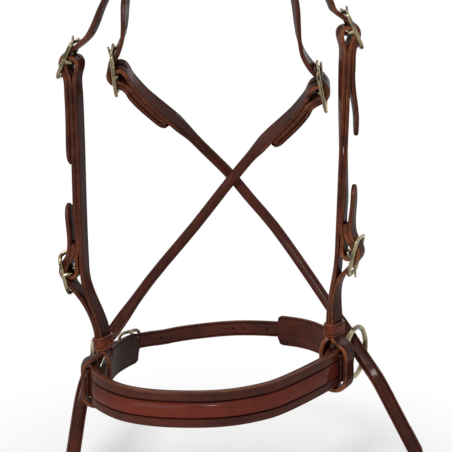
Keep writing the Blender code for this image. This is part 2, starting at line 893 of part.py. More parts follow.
def hang_keeper(cheek):
    """The stitched leather loop round both layers above the noseband."""
    name = cheek.name + "_keeper"
    across, up = cheek.keeper.across, cheek.keeper_up
    out = up.cross(across)
    axes = (across, out, up)
    layers = strap_thick * 2 + fit
    inner = (cheek_width + fit * 2, layers + fit * 2, keeper_height * 2)
    outer = (inner[0] + keeper_thick * 2, inner[1] + keeper_thick * 2, keeper_height)
    place = cheek.keeper.place
    keeper = place_part(name, rounded_block(name, outer, place, axes, keeper_thick * edge_share), "keeper")
    hole = rounded_block(name + "_hole", inner, place, axes, 0)
    boolean(keeper, place_cutter(name + "_hole", hole), "DIFFERENCE")
    return keeper


def fit_strap(strap, cuts):
    """Cut a strap's tongue slots and holes, each with its own cutter where cutters meet."""
    for i, mesh in enumerate(cuts):
        boolean(strap, place_cutter(strap.name + "_cut_" + str(i), mesh), "DIFFERENCE")


def cheekpiece(cheek, loop, run):
    path = cheek.layers(loop, run)
    strap = flat_strap(cheek.name + "_cheekpiece", path, strap_thick)
    cuts = [cheek.top.chape_slot(), cheek.low.chape_slot(), cheek.low.billet_hole()]
    fit_strap(strap, cuts)
    for buckle in (cheek.top, cheek.low):
        buckle.frame()
        buckle.tongue()
    hang_keeper(cheek)


def through(points, pieces):
    """A smooth line through the points, the ends included."""
    ends = [points[0] * 2 - points[1]] + points + [points[-1] * 2 - points[-2]]
    made = []
    for a, b, c, d in zip(ends, ends[1:], ends[2:], ends[3:]):
        for step in range(pieces):
            t = step / pieces
            place = (b * 2 + (c - a) * t + (a * 2 - b * 5 + c * 4 - d) * t**2) / 2
            made.append(place + (b * 3 - a - c * 3 + d) * t**3 / 2)
    return made + [points[-1]]


class Cross:
    """One crossed jaw strap with its buckle at the top and its rein ring at the foot."""

    def __init__(self, side, name, bar, chape_way, angle, lean, shares, ring, ring_shares, last_across):
        self.name, self.side = name, side
        outward = Vector((side, 0, 0))
        self.outward = outward
        across = Vector((-side * math.sin(angle), math.cos(angle), 0))
        bar = Vector((side * bar[0], cross_plane, -bar[1]))
        size = (cross_width, cross_buckle_length, cheek_wire, strap_thick)
        way = Vector(chape_way)
        name += "_cross_buckle"
        self.buckle = Buckle(name, bar, way, across, outward, *size, fold_radius, lean, cross_dip)
        start = self.buckle.leg(-1)[-1]
        moved = ring - Vector(ring_shares) * path_unit
        points = [Vector(share[:3]) * path_unit + moved * share[3] for share in shares]
        lead = self.buckle.bar + self.buckle.down * cross_lead
        line = through([start.place, lead] + points, 3)
        last = Station(points[-1], last_across, rein_width / 2, rein_thick / 2)
        rough = [mixed(start, last, i / (len(line) - 1), p) for i, p in enumerate(line)]
        self.main = [start] + even(rough, cross_step)[1:]
        self.fit_round()

    def fit_round(self):
        """Roll the strap past the turned-back end, and flatten it again before the ring."""
        lengths = [0.0]
        for near, far in zip(self.main, self.main[1:]):
            lengths.append(lengths[-1] + (far.place - near.place).length)
        total = lengths[-1]
        made = []
        for station, run in zip(self.main, lengths):
            roll = smooth(min(1.0, max(0.0, (run - roll_start) / roll_ease)))
            flat = smooth(min(1.0, max(0.0, (run - total + rein_flat) / roll_ease)))
            roll_on = roll * (1 - flat)
            base_half = cross_width / 2 if flat <= 0 else rein_width / 2
            base_deep = strap_thick / 2 if flat <= 0 else rein_thick / 2
            half = base_half * (1 - roll_on) + rolled_diameter / 2 * roll_on
            deep = base_deep * (1 - roll_on) + rolled_diameter / 2 * roll_on
            made.append(Station(station.place, station.across, half, deep, roll_on))
        self.main = made

    def rest(self):
        """Where the crown's billet lies on the turned-back end."""
        return along(self.main[:self.flat_count()], self.buckle.step * 2 + fit * 2, self.outward)

    def flat_count(self):
        return sum(1 for s in self.main if s.roundness <= 0 and s.half > rein_width / 2 + fit)

    def tail(self):
        """The sewn fold at the strap's foot, with the rein ring in it."""
        end = self.main[-1]
        way = ways(self.main)[-1]
        across = (end.across - way * end.across.dot(way)).normalized()
        side = way.cross(across)
        if side.y > 0:
            side = -side
        layer = (rein_thick + fit) / 2
        minor = rein_ring_wire / 2
        radius = minor + tail_play + rein_thick / 2
        major = rein_ring_inside / 2 + minor
        centre = end.place + way * tail_run - side * layer

        def spot(offset, back):
            return end.moved(centre + side * offset - way * back, tail_half)

        leg = []
        for i in (1, 2, 3):
            share = smooth(i / 3)
            leg.append((layer * (1 - share) + radius * share, tail_run * (1 - i / 3)))
        made = [spot(offset, back) for offset, back in leg]
        for i in range(1, tail_count):
            angle = math.pi * i / tail_count
            made.append(spot(radius * math.cos(angle), -radius * math.sin(angle)))
        made += [spot(-offset, back) for offset, back in leg[::-1]]
        made += along(self.main[-tail_sewn_count:], layer * 2, -side)[::-1]
        name = self.name + "_rein_ring"
        ring_mesh(name, centre + way * major, across, way, major, minor, centre, rein_ring_count)
        return made

    def path(self):
        turned = along(self.main[:self.flat_count()], self.buckle.step, self.outward)
        turned = stretch(turned, 0, cross_turned_end)
        return turned[:0:-1] + self.buckle.chape()[::-1] + self.main[1:] + self.tail()

    def build(self):
        path = self.path()
        strap = loft(self.name + "_cross_strap", path, [strap_section(s) for s in path])
        fit_strap(strap, [self.buckle.chape_slot()])
        self.buckle.frame()
        self.buckle.tongue()


def half_turn(centre, way, out, across, radius, half, thick, count=fold_count):
    """Stations of a fold round a centre, from the outer side over the far end to the inner side."""
    made = []
    for i in range(count):
        angle = math.pi * i / (count - 1)
        place = centre + out * (radius * math.cos(angle)) + way * (radius * math.sin(angle))
        made.append(Station(place, across, half, thick / 2))
    return made


def flared(stations, half, reach):
    """The stations widened to a half width over a reach."""
    made = []
    run = 0.0
    for i, station in enumerate(stations):
        if i:
            run += (station.place - stations[i - 1].place).length
        share = smooth(min(1.0, run / reach))
        made.append(station.moved(station.place, station.half * (1 - share) + half * share))
    return made


def ring_chape(name, loop, run, forward):
    """The folded strap sewn through the noseband's end, with the ring in its fold."""
    place, way, out = loop.frame(run)
    up = out.cross(way)
    half = ring_chape_width / 2
    away = -way * forward
    turn = half_turn(place, away, out, up, chape_offset, half, ring_chape_thick)
    start = run + loop_step / 2 * forward
    end = run + ring_chape_leg * forward
    legs = []
    for side in (1, -1):
        leg = loop.strap(start, end, side * chape_offset, half, ring_chape_thick)
        legs.append(flared(leg, ring_chape_wide / 2, ring_chape_flare))
    return flat_strap(name, legs[0][::-1] + turn + legs[1], ring_chape_thick)


def nose_cover(loop, start, end):
    """The raised, grooved front of the noseband, fading to plain leather at each end."""
    base = -nose_half_thick + backing_thick + fit
    edge = cover_thick - groove_depth / 2
    rim = nose_width / 2
    groove = raised_width / 2
    wall = groove_width / 2
    plain = [(-rim, 0), (-rim, edge), (-rim + groove_width, cover_thick)]
    plain += [(-groove - wall, cover_thick), (-groove, cover_thick), (wall - groove, cover_thick)]
    plain += [(-groove * crown_near, cover_thick), (0, cover_thick)]
    low = cover_thick - groove_depth
    full = [(-rim, 0), (-rim, edge), (-rim + groove_width, cover_thick)]
    full += [(-groove - wall, cover_thick), (-groove, low), (wall - groove, cover_thick)]
    full += [(-groove * crown_near, cover_thick + raised_height * crown_near_rise)]
    full += [(0, cover_thick + raised_height)]
    stations, sections = [], []
    for run in loop.marks(start, end):
        near = min(run - start, end - run)
        share = smooth(min(1.0, max(0.0, (near - raised_from) / raised_fade)))
        half = [(a, b * (1 - share) + d * share) for (a, b), (c, d) in zip(plain, full)]
        section = half + [(-a, b) for a, b in half[-2::-1]]
        stations.append(loop.station(run, base, rim, cover_thick))
        sections.append(section)
    return stations, sections


def noseband(loop):
    start, end = nose_end, loop.front_run - nose_end
    offset = backing_thick / 2 - nose_half_thick
    back = loop.strap(start, end, offset, nose_width / 2, backing_thick)
    flat_strap("noseband_backing", back, backing_thick)
    stations, sections = nose_cover(loop, start, end)
    return loft("noseband_cover", stations, sections)


def guards(loop):
    """Soft plates inside the ring ends, with the chin strap sewn to their outer faces."""
    for name, start, end, width in (
        ("left_ring_guard", guard_front, -left_guard_back, left_guard_width),
        (
            "right_ring_guard", loop.front_run - guard_front, loop.front_run + right_guard_back,
            right_guard_width,
        ),
    ):
        flat_strap(name, loop.strap(start, end, guard_offset, width / 2, guard_thick), guard_thick)


def chin(loop):
    """The long punched chin strap, its buckle and the short strap that carries it."""
    layer = chin_thick + fit
    middle = chin_offset + layer / 2 + chin_buckle_stand
    place, way, out = loop.frame(-chin_buckle_back)
    fold = chin_thick / 2 + chin_wire * bar_share / 2 + fit * 2
    buckle = Buckle(
        "chin_buckle", place + out * middle, way, out.cross(way), out,
        chin_width, chin_buckle_length, chin_wire, chin_thick, fold, chin_lean, chin_dip,
    )
    grip = buckle.seat + chape_run
    near = chin_settle - chin_buckle_back
    inner = loop.strap(-chin_start, near, chin_offset, chin_width / 2, chin_thick)
    chape = buckle.chape()
    inner += bridge(inner[-1], inner[-1].place - inner[-2].place, chape[0], -buckle.down, 2)
    short = inner + chape
    strap = flat_strap("chin_buckle_strap", short, chin_thick)
    fit_strap(strap, [buckle.chape_slot()])
    billet = buckle.billet()
    lead = chin_buckle_back + chin_approach
    start = loop.front_run + chin_start
    long = loop.strap(start, loop.length - lead, chin_offset, chin_width / 2, chin_thick)
    long += bridge(long[-1], long[-1].place - long[-2].place, billet[0], -buckle.billet_way(), 3) + billet
    last = buckle.station(buckle.at(grip + loop_step / 2, layer * 1.5))
    long = tapered_tip(long + [last], buckle.down)
    strap = flat_strap("chin_strap", long, chin_thick)
    fit_strap(strap, [buckle.billet_hole()])
    buckle.frame()
    buckle.tongue()


def rings(loop):
    major = (ring_inside + ring_wire) / 2
    for name, run, forward, turn in (
        ("left", 0, 1, left_ring_turn),
        ("right", loop.front_run, -1, right_ring_turn),
    ):
        place = loop.plain(run)
        way = Vector((math.sin(turn), math.cos(turn), 0))
        centre = place + way * major
        ring_mesh(name + "_noseband_ring", centre, way, Vector((0, 0, 1)), major, ring_wire / 2, place)
        ring_chape(name + "_ring_chape", loop, run, forward)


def main():
    clear_scene()
    loop = Loop(nose_plan_shares, nose_front_points)
    left = Cheek(
        -1, "left", (left_cheek_out, left_cheek_drop), (left_foot_out, left_foot_drop),
        left_twists, (left_keeper_out, left_keeper_drop),
    )
    right = Cheek(
        1, "right", (right_cheek_out, right_cheek_drop), (right_foot_out, right_foot_drop),
        right_twists, (right_keeper_out, right_keeper_drop),
    )
    cheekpiece(left, loop, hang_run)
    cheekpiece(right, loop, loop.front_run - hang_run)
    left_cross = Cross(
        -1, "left", (left_cross_out, left_cross_drop), left_cross_way, left_cross_twist, left_cross_lean,
        left_cross_path_shares, loop.plain(loop.front_run), right_ring_shares, left_cross_last,
    )
    right_cross = Cross(
        1, "right", (right_cross_out, right_cross_drop), right_cross_way, right_cross_twist,
        right_cross_lean, right_cross_path_shares, loop.plain(0), left_ring_shares, right_cross_last,
    )
    left_cross.build()
    right_cross.build()
    tails = []
    for name, plane, width, reach, pair in (
        ("cheek", cheek_plane, cheek_width, upper_billet_reach, (
            (left.top, cheek_tail_out, left.rest(left_billet_lift)),
            (right.top, cheek_tail_out, right.rest(right_billet_lift)),
        )),
        ("cross", cross_plane, cross_width, cross_billet_reach, (
            (left_cross.buckle, left_cross_tail_out, left_cross.rest()),
            (right_cross.buckle, right_cross_tail_out, right_cross.rest()),
        )),
    ):
        made = [
            crown_tail(side, buckle, plane, width, out, rest, reach)
            for side, (buckle, out, rest) in zip((-1, 1), pair)
        ]
        tails.append((name + "_tails", made[0], made[1]))
    crown = crownpiece(tails)
    buckles = (left.top, right.top, left_cross.buckle, right_cross.buckle)
    fit_strap(crown, [joined("crown_holes", [buckle.billet_hole() for buckle in buckles])])
    noseband(loop)
    rings(loop)
    guards(loop)
    chin(loop)


main()
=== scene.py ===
import functools
import math

import bmesh
import bpy
from bpy.props import FloatProperty, FloatVectorProperty, PointerProperty
from mathutils import Matrix, Vector


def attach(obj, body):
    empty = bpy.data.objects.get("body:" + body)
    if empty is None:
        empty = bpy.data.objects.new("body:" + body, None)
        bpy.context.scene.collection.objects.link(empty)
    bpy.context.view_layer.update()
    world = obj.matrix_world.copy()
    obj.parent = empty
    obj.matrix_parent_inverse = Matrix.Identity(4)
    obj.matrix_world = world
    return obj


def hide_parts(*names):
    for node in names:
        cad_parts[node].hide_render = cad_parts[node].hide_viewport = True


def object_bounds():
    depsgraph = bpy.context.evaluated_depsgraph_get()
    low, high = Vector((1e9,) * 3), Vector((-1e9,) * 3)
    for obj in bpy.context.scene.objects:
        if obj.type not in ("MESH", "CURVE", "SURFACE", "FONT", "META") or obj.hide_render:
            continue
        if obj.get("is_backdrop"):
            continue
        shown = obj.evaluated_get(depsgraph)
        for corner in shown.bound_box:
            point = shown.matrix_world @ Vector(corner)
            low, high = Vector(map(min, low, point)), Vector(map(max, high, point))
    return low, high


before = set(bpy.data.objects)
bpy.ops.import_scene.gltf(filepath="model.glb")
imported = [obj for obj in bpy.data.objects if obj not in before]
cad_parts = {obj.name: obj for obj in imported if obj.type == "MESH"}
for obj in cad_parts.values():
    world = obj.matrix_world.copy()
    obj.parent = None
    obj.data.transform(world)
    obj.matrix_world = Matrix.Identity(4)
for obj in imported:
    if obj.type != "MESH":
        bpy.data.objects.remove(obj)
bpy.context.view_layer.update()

bl_info = {
    "name": "Bitless bridle",
    "version": (1, 0, 0),
    "blender": (4, 5, 0),
    "location": "3D View > Sidebar > Bridle",
    "description": "Dresses the bridle's frame in creased leather, stitching and polished steel",
    "category": "Object",
}

mm = 0.001
degree = math.pi / 180

# Leather and clearances
fit = 0.3 * mm
strap_thick = 3.4 * mm
cheek_width = 16 * mm
cross_width = 19 * mm
rolled_diameter = 9 * mm
rein_width = 12 * mm
rein_thick = 3.8 * mm
crown_width = 32 * mm
crown_thick = 5 * mm
seat_half_length = 11 * mm
tip_length = 12 * mm

# Hardware
cheek_wire = 3.5 * mm
cheek_buckle_length = 36 * mm
cross_buckle_length = 43 * mm
chin_wire = 2.8 * mm
chin_buckle_length = 24 * mm
buckle_side_play = 1.2 * mm
bar_share = 0.86
tongue_share = 0.68
tongue_overhang = 2 * mm
fold_radius = 5.2 * mm
chape_run = 14 * mm
slot_play = 0.6 * mm

# Headstall, measured down from the poll and out from the middle
crown_arch_half = 89 * mm
crown_arch_drop = 97 * mm
cheek_plane = -12 * mm
cross_plane = 18 * mm
left_cheek_bar = (115 * mm, 146 * mm)
right_cheek_bar = (103 * mm, 122 * mm)
left_foot = (109.5 * mm, 322 * mm)
right_foot = (100 * mm, 305 * mm)
left_keeper = (94.5 * mm, 380 * mm)
right_keeper = (96.5 * mm, 368 * mm)
left_twists = (18 * degree, 17 * degree, 27 * degree)
right_twists = (12 * degree, -20 * degree, -36 * degree)
bottom_bar_stand = 10 * mm
upper_billet_reach = 74 * mm
lower_billet_reach = 46 * mm
turned_end = 26 * mm
left_billet_lift = 0.6 * mm
right_billet_lift = 4.5 * mm
billet_lift_from = 18 * mm
billet_lift_run = 40 * mm
keeper_height = 11 * mm
keeper_thick = 2.4 * mm
keeper_plane = -20 * mm
low_tilt = 16 * degree
outer_leaves = 44 * mm
cheek_lean = 27 * degree
cheek_dip = 28 * degree
hang_outer = 8.4 * mm
hang_inner = 12.8 * mm
hang_drop = 12.5 * mm
hang_depth = 8 * mm
hang_outer_rise = 12 * mm
hang_inner_rise = 15 * mm
hang_run = 15 * mm

# Noseband, rings, guards and chin strap
nose_half_width = 104 * mm
nose_front = 112 * mm
nose_back = 94 * mm
nose_drop = 404.5 * mm
nose_roll = 3.9 * degree
nose_width = 30 * mm
nose_end = 6 * mm
backing_thick = 3 * mm
cover_thick = 3.2 * mm
raised_width = 14 * mm
raised_height = 3 * mm
raised_from = 26 * mm
raised_fade = 16 * mm
groove_width = 1.6 * mm
groove_depth = 1.1 * mm
left_guard_width = 28 * mm
right_guard_width = 27 * mm
guard_thick = 3 * mm
guard_front = 24 * mm
left_guard_back = 79 * mm
right_guard_back = 116 * mm
ring_inside = 38 * mm
ring_wire = 4.5 * mm
ring_chape_width = 12 * mm
ring_chape_thick = 2.8 * mm
ring_chape_leg = 24 * mm
ring_chape_wide = 24 * mm
ring_chape_flare = 10 * mm
left_ring_turn = -7 * degree
right_ring_turn = 27.5 * degree
chin_width = 14 * mm
chin_thick = 2.6 * mm
chin_lean = 10 * degree
chin_dip = 12 * degree
chin_buckle_back = 82 * mm
chin_buckle_stand = 2.4 * mm
chin_settle = 30 * mm
chin_start = 12 * mm
chin_mark = 2 * mm
chin_mark_places = (43 * mm, 22 * mm, 13 * mm, -52 * mm)
chin_approach = 34 * mm
loop_step = 7 * mm
nose_half_thick = (backing_thick + fit + cover_thick) / 2
chape_offset = nose_half_thick + fit + ring_chape_thick / 2
guard_offset = -(chape_offset + ring_chape_thick / 2 + fit + guard_thick / 2)
chin_offset = guard_offset + (guard_thick + chin_thick) / 2 + fit
nose_front_points = 12
nose_plan_shares = (
    (-0.98, -0.11), (-0.985, -0.26), (-0.93, -0.49), (-0.73, -0.76), (-0.46, -0.92), (-0.13, -1.0),
    (0.12, -1.0), (0.34, -0.93), (0.5, -0.82), (0.75, -0.55), (0.93, -0.31), (1.02, -0.125),
    (1.03, 0.09), (0.96, 0.38), (0.79, 0.67), (0.53, 0.87), (0.18, 0.99), (-0.125, 0.98),
    (-0.43, 0.89), (-0.7, 0.68), (-0.875, 0.4), (-0.95, 0.14),
)

# Crossed jaw straps
left_cross_bar = (81 * mm, 159 * mm)
right_cross_bar = (83 * mm, 173 * mm)
left_cross_way = (0.67, 0.235, -0.7)
right_cross_way = (-0.63, 0.25, -0.735)
left_cross_twist = 20 * degree
right_cross_twist = 12 * degree
left_cross_last = (0.83, 0, 0.55)
right_cross_last = (-0.95, 0, 0.3)
left_cross_lean = 38 * degree
right_cross_lean = 51 * degree
cross_dip = 28 * degree
cross_step = 7 * mm
cross_lead = 34 * mm
cross_billet_reach = 58 * mm
cross_turned_end = 46 * mm
roll_start = 52 * mm
roll_ease = 30 * mm
rein_flat = 150 * mm
rein_ring_inside = 22 * mm
rein_ring_wire = 3.5 * mm
tail_run = 18 * mm
tail_half = 4.5 * mm
tail_play = 1.2 * mm
tail_sewn_count = 4
path_unit = 100 * mm
left_cross_path_shares = (
    (-0.314, 0.400, -2.094), (-0.108, 0.540, -2.335), (0.096, 0.680, -2.575), (0.276, 0.680, -2.795),
    (0.482, 0.620, -3.028), (0.703, 0.480, -3.310), (0.930, 0.300, -3.612), (1.040, 0.150, -3.750),
    (1.150, 0.030, -3.900), (1.250, -0.080, -4.030), (1.340, -0.170, -4.148), (1.450, -0.210, -4.350),
    (1.660, -0.270, -4.750),
)
right_cross_path_shares = (
    (0.388, 0.380, -2.232), (0.130, 0.580, -2.590), (-0.195, 0.520, -3.001), (-0.578, 0.380, -3.441),
    (-0.880, 0.240, -3.840), (-0.970, 0.160, -3.935), (-1.035, 0.100, -4.060), (-1.100, 0.020, -4.190),
    (-1.150, -0.090, -4.370), (-1.208, -0.270, -4.750),
)

# Crownpiece
arch_sweep = 30 * degree
arch_steps = 5
middle_half = 7.9 * mm
middle_plane = 8 * mm
cheek_tail_out = 89 * mm
left_cross_tail_out = 74 * mm
right_cross_tail_out = 62 * mm
tail_turn = 12 * degree

# Thread, in from the edges and faces, and where its rows begin and end
thread_sink = 0.1 * mm
cover_thread_sink = 0.05 * mm
plate_stitch_in = 2.6 * mm
guard_stitch_in = 2.2 * mm
rim_stitch_in = 2.1 * mm
chin_stitch_in = 1.8 * mm
ring_chape_stitch_in = 1.7 * mm
foot_stitch_in = 1.6 * mm
groove_stitch_out = 0.7 * mm
row_start = 1 * mm
row_end = 2 * mm
foot_row_end = 1.5 * mm
fall_row = 26 * mm
chin_buckle_row = 30 * mm

# Holes and rounded shapes
hole_trim = 1.15
guard_corner = 6 * mm
guard_cut_share = 0.9
frame_squareness = 0.45
frame_count = 96
tongue_curl = 250 * degree
tongue_count = 22
ring_count = 80
keeper_corner_share = 0.95
keeper_corner_steps = 6
keeper_spacing = 1.1 * mm
keeper_sewn_share = 0.6
turn_steps = 8
hole_count = 3
tip_hole_count = 2
tip_hole_share = 0.4
tip_hole_depth = strap_thick * 1.25
upper_hole_depth = strap_thick * 2

# Profiles, in pairs of shares
ease_profile = ((1.0, 1.0), (0.35, 0.86), (0.0, 0.5))
tip_profile = ((0.25, 0.97), (0.5, 0.86), (0.75, 0.65), (0.92, 0.4), (1.0, 0.18))
tongue_profile = ((0.15, 1.15), (0.35, 1.1), (0.6, 1.0), (0.8, 0.95), (0.93, 0.86), (0.98, 0.6), (1, 0.2))
boss_profile = ((0, 0), (0.3, 0.12), (0.7, 0.55), (1, 1))
boss_swell = [1.0, 1.05, 1.15, 1.25]

# Stations that bridge a cheekpiece's places
inner_count = 14
to_keeper_count = 6
hang_in_count = 3
hang_out_count = 4
rise_count = 5
hang_up_count = 5

# Meshes
row_spacing = 2.4 * mm
close_spacing = 1.2 * mm
tongue_spacing = 1.5 * mm
flat_below = 0.001
touching = 0.15 * mm
bend_size = 9 * mm
sharp_angle = 38 * degree
wire_sharp_angle = 60 * degree
arc_angles = (0.0, 32 * degree, 64 * degree, 90 * degree)
upward = Vector((0, 0, 1))
rearward = Vector((0, 1, 0))

# Each leather's warmth, wear (which also sets its painted edge highlight) and gloss
leathers = {
    "strap_leather": (0.0, 0.5, 0.35),
    # The right cheekpiece's leather is a warmer, more worn copy of the strap leather: painted light, so it
    # reads brighter than the left
    "right_cheek_leather": (0.16, 0.95, 0.45),
    "keeper_leather": (1.0, 0.4, 0.9),
    "cross_strap_leather": (0.06, 0.75, 0.4),
    "backing_leather": (0.05, 0.6, 0.2),
    "noseband_leather": (0.1, 0.55, 0.7),
    "left_guard_leather": (0, 0.35, 0.3),
    "right_guard_leather": (0.1, 0.5, 0.3),
    "chin_leather": (0.1, 0.5, 0.4),
}

# Textures: scales in cells to a metre, and depths of relief
cloud_scale = 26
speckle_scale = 320
rub_scale = 75
grain_scale = 900
pore_scale = 1500
streak_scales = (420, 16, 260)
wrinkle_scales = (60, 900, 60)
twist_scale = 2600
film_scale = 62
scratch_scales = (3000, 3000, 240)
wrinkle_depth = 0.35 * mm
grain_depth = 0.06 * mm
twist_depth = 0.1 * mm
scratch_depth = 0.02 * mm

# Stage
view_target = (0.007, -0.012, -0.283)
lamp_target = (0, 0, -0.28)
floor_half = 12
sky_light = 0.35


def colour_setting(name, description, default):
    return FloatVectorProperty(
        name=name, description=description, default=default, subtype="COLOR", size=3, min=0, max=1
    )


def length_setting(name, description, default, low, high):
    return FloatProperty(
        name=name, description=description, default=default, min=low, max=high,
        subtype="DISTANCE", unit="LENGTH",
    )


def angle_setting(name, description, default, high):
    return FloatProperty(
        name=name, description=description, default=default, min=0, max=high,
        subtype="ANGLE", unit="ROTATION",
    )


def power_setting(name, description, default):
    return FloatProperty(name=name, description=description, default=default, min=0, max=200, unit="POWER")


class LeatherSettings(bpy.types.PropertyGroup):
    """The leather's colours and the tooling along its edges."""

    body: colour_setting("Dye", "Main colour of the straps", (0.06, 0.015, 0.0095))
    # The deep dye also darkens the crease lines and grooves as painted shade
    deep: colour_setting("Deep dye", "Where the dye has gone dark", (0.026, 0.008, 0.0062))
    # The worn colour is also the painted highlight colour along the strap edges
    worn_and_highlit: colour_setting("Worn", "Rubbed edges and bends", (0.21, 0.068, 0.028))
    keeper: colour_setting("Keeper", "Lighter leather of the two hanging keepers", (0.24, 0.042, 0.012))
    middle: colour_setting(
        "Raised middle", "Redder leather of the noseband's raised middle", (0.135, 0.019, 0.009)
    )
    # The left guard's darker, greyer dye: partly its lining leather, partly painted shade
    shaded_lining: colour_setting("Lining", "Greyer leather of the left guard", (0.042, 0.023, 0.014))
    crease_in: length_setting(
        "Crease inset", "From a strap's edge to its crease line", 2 * mm, 0.5 * mm, 4 * mm
    )
    crease_width: length_setting("Crease width", "Across the crease line", 1.1 * mm, 0.2 * mm, 2 * mm)
    crease_depth: length_setting(
        "Crease depth", "How far the crease line is pressed in", 0.45 * mm, 0, 1 * mm
    )
    hole: length_setting("Punched hole", "Diameter of the holes in the billets", 3.2 * mm, 1 * mm, 6 * mm)
    hole_gap: length_setting(
        "Hole spacing", "From one punched hole to the next", 17 * mm, 8 * mm, 40 * mm
    )


class ThreadSettings(bpy.types.PropertyGroup):
    """The sewing."""

    colour: colour_setting("Thread", "Colour of the waxed thread", (0.05, 0.016, 0.01))
    length: length_setting("Stitch", "Length of a stitch", 2.7 * mm, 1 * mm, 6 * mm)
    gap: length_setting("Gap", "Between two stitches", 0.9 * mm, 0.2 * mm, 4 * mm)
    thick: length_setting("Thread size", "Diameter of the thread", 0.8 * mm, 0.3 * mm, 1.5 * mm)
    slant: angle_setting("Slant", "How far a stitch turns from its row", 14 * degree, 45 * degree)


class SteelSettings(bpy.types.PropertyGroup):
    """The buckles and rings."""

    # Painted reflection: the steel is dark and warm, standing in for the warm surroundings it mirrors
    colour: colour_setting("Steel", "Polished faces", (0.4, 0.33, 0.2))
    # Tarnish lies at random, and along every wire's sides as painted shade
    shade: colour_setting("Tarnish", "Dull film in the hollows", (0.045, 0.036, 0.02))


class StageSettings(bpy.types.PropertyGroup):
    """The floor, the lamps and the camera."""

    floor_drop: length_setting("Floor gap", "Between the lowest point and the floor", 2 * mm, 0, 0.2)
    floor: colour_setting("Floor", "Colour of the floor", (0.93, 0.93, 0.92))
    distance: length_setting("Camera distance", "From the camera to the middle of its view", 1.6, 0.5, 5)
    elevation: angle_setting("Camera height", "Angle above the horizon", 15 * degree, 80 * degree)
    lens: FloatProperty(
        name="Lens", description="Focal length", default=155.4, min=20, max=300, unit="CAMERA",
    )
    key: power_setting("Key lamp", "Power of the main lamp", 15)
    fill: power_setting("Fill lamp", "Power of the soft lamps", 7)


class Station:
    """A cross-section's place on a strap: its centre, the way across the strap and its half sizes."""

    def __init__(self, place, across, half, deep=strap_thick / 2, roundness=0.0):
        self.place = Vector(place)
        self.across = Vector(across).normalized()
        self.half, self.deep, self.roundness = half, deep, roundness

    def moved(self, place, half=None, deep=None):
        half = self.half if half is None else half
        return Station(place, self.across, half, self.deep if deep is None else deep, self.roundness)


def mixed(first, last, share, place):
    """A station between two others, with its own place."""
    keep = 1 - share
    return Station(
        place,
        first.across * keep + last.across * share,
        first.half * keep + last.half * share,
        first.deep * keep + last.deep * share,
        first.roundness * keep + last.roundness * share,
    )


def smooth(share):
    share = min(1.0, max(0.0, share))
    return share * share * (3 - 2 * share)


def hermite(first, start, last, end, t):
    return (
        first * (2 * t**3 - 3 * t**2 + 1) + start * (t**3 - 2 * t**2 + t)
        + last * (3 * t**2 - 2 * t**3) + end * (t**3 - t**2)
    )


def bridge(first, way_out, last, way_in, count):
    """Stations of the curve that leaves one station and arrives at another, both left out."""
    reach = (last.place - first.place).length
    start, end = way_out.normalized() * reach, way_in.normalized() * reach
    shares = [step / (count + 1) for step in range(1, count + 1)]
    return [mixed(first, last, smooth(t), hermite(first.place, start, last.place, end, t)) for t in shares]


def ways(stations, closed=False):
    """The direction of travel at each station."""
    places = [station.place for station in stations]
    count = len(places)
    made = []
    for i in range(count):
        after = (i + 1) % count if closed else min(i + 1, count - 1)
        before = (i - 1) % count if closed else max(i - 1, 0)
        made.append((places[after] - places[before]).normalized())
    return made


def towards(vector, side):
    """The vector, turned over where it points away from a side."""
    return -vector if vector.dot(side) < 0 else vector


def square(vector, way):
    """The part of a vector that is square to a way, at unit length."""
    return (vector - way * vector.dot(way)).normalized()


def runs_of(stations):
    """How far along the stations each of them lies."""
    runs = [0.0]
    for near, far in zip(stations, stations[1:]):
        runs.append(runs[-1] + (far.place - near.place).length)
    return runs


def shifted(stations, offsets, outward):
    """The stations moved sideways, square to the strap, towards the side that outward names."""
    made = []
    for station, way, offset in zip(stations, ways(stations), offsets):
        normal = towards(way.cross(station.across).normalized(), outward)
        made.append(station.moved(station.place + normal * offset))
    return made


def along(stations, layer, outward):
    return shifted(stations, [layer] * len(stations), outward)


def stretch(stations, start, end):
    """The stations between two distances along them, with new ones at the cuts."""
    made = []
    run = 0.0
    for near, far in zip(stations, stations[1:]):
        piece = (far.place - near.place).length
        if start <= run <= end:
            made.append(near)
        for cut in (start, end):
            if run < cut < run + piece:
                share = (cut - run) / piece
                made.append(mixed(near, far, share, near.place.lerp(far.place, share)))
        run += piece
    return made


def settle(stations, first, last, hold, ease, outward):
    """The stations lifted by the first offset for a distance, then eased to the last offset."""
    shares = [smooth((run - hold) / ease) for run in runs_of(stations)]
    return shifted(stations, [first * (1 - share) + last * share for share in shares], outward)


def length_of(stations):
    return runs_of(stations)[-1]


def even(stations, spacing):
    """The same run with stations at an even spacing."""
    length = length_of(stations)
    count = max(2, round(length / spacing))
    made = [stations[0]]
    for i in range(1, count):
        made += stretch(stations, length * i / count, length * 2)[:1]
    return made + [stations[-1]]


def curve_point(a, b, c, d, t):
    """A place between the middle two of four points, on the smooth line through them all."""
    place = (b * 2 + (c - a) * t + (a * 2 - b * 5 + c * 4 - d) * t**2) / 2
    return place + (b * 3 - a - c * 3 + d) * t**3 / 2


def through(points, pieces):
    """A smooth line through the points, the ends included."""
    ends = [points[0] * 2 - points[1]] + points + [points[-1] * 2 - points[-2]]
    made = []
    for four in zip(ends, ends[1:], ends[2:], ends[3:]):
        made += [curve_point(*four, step / pieces) for step in range(pieces)]
    return made + [points[-1]]


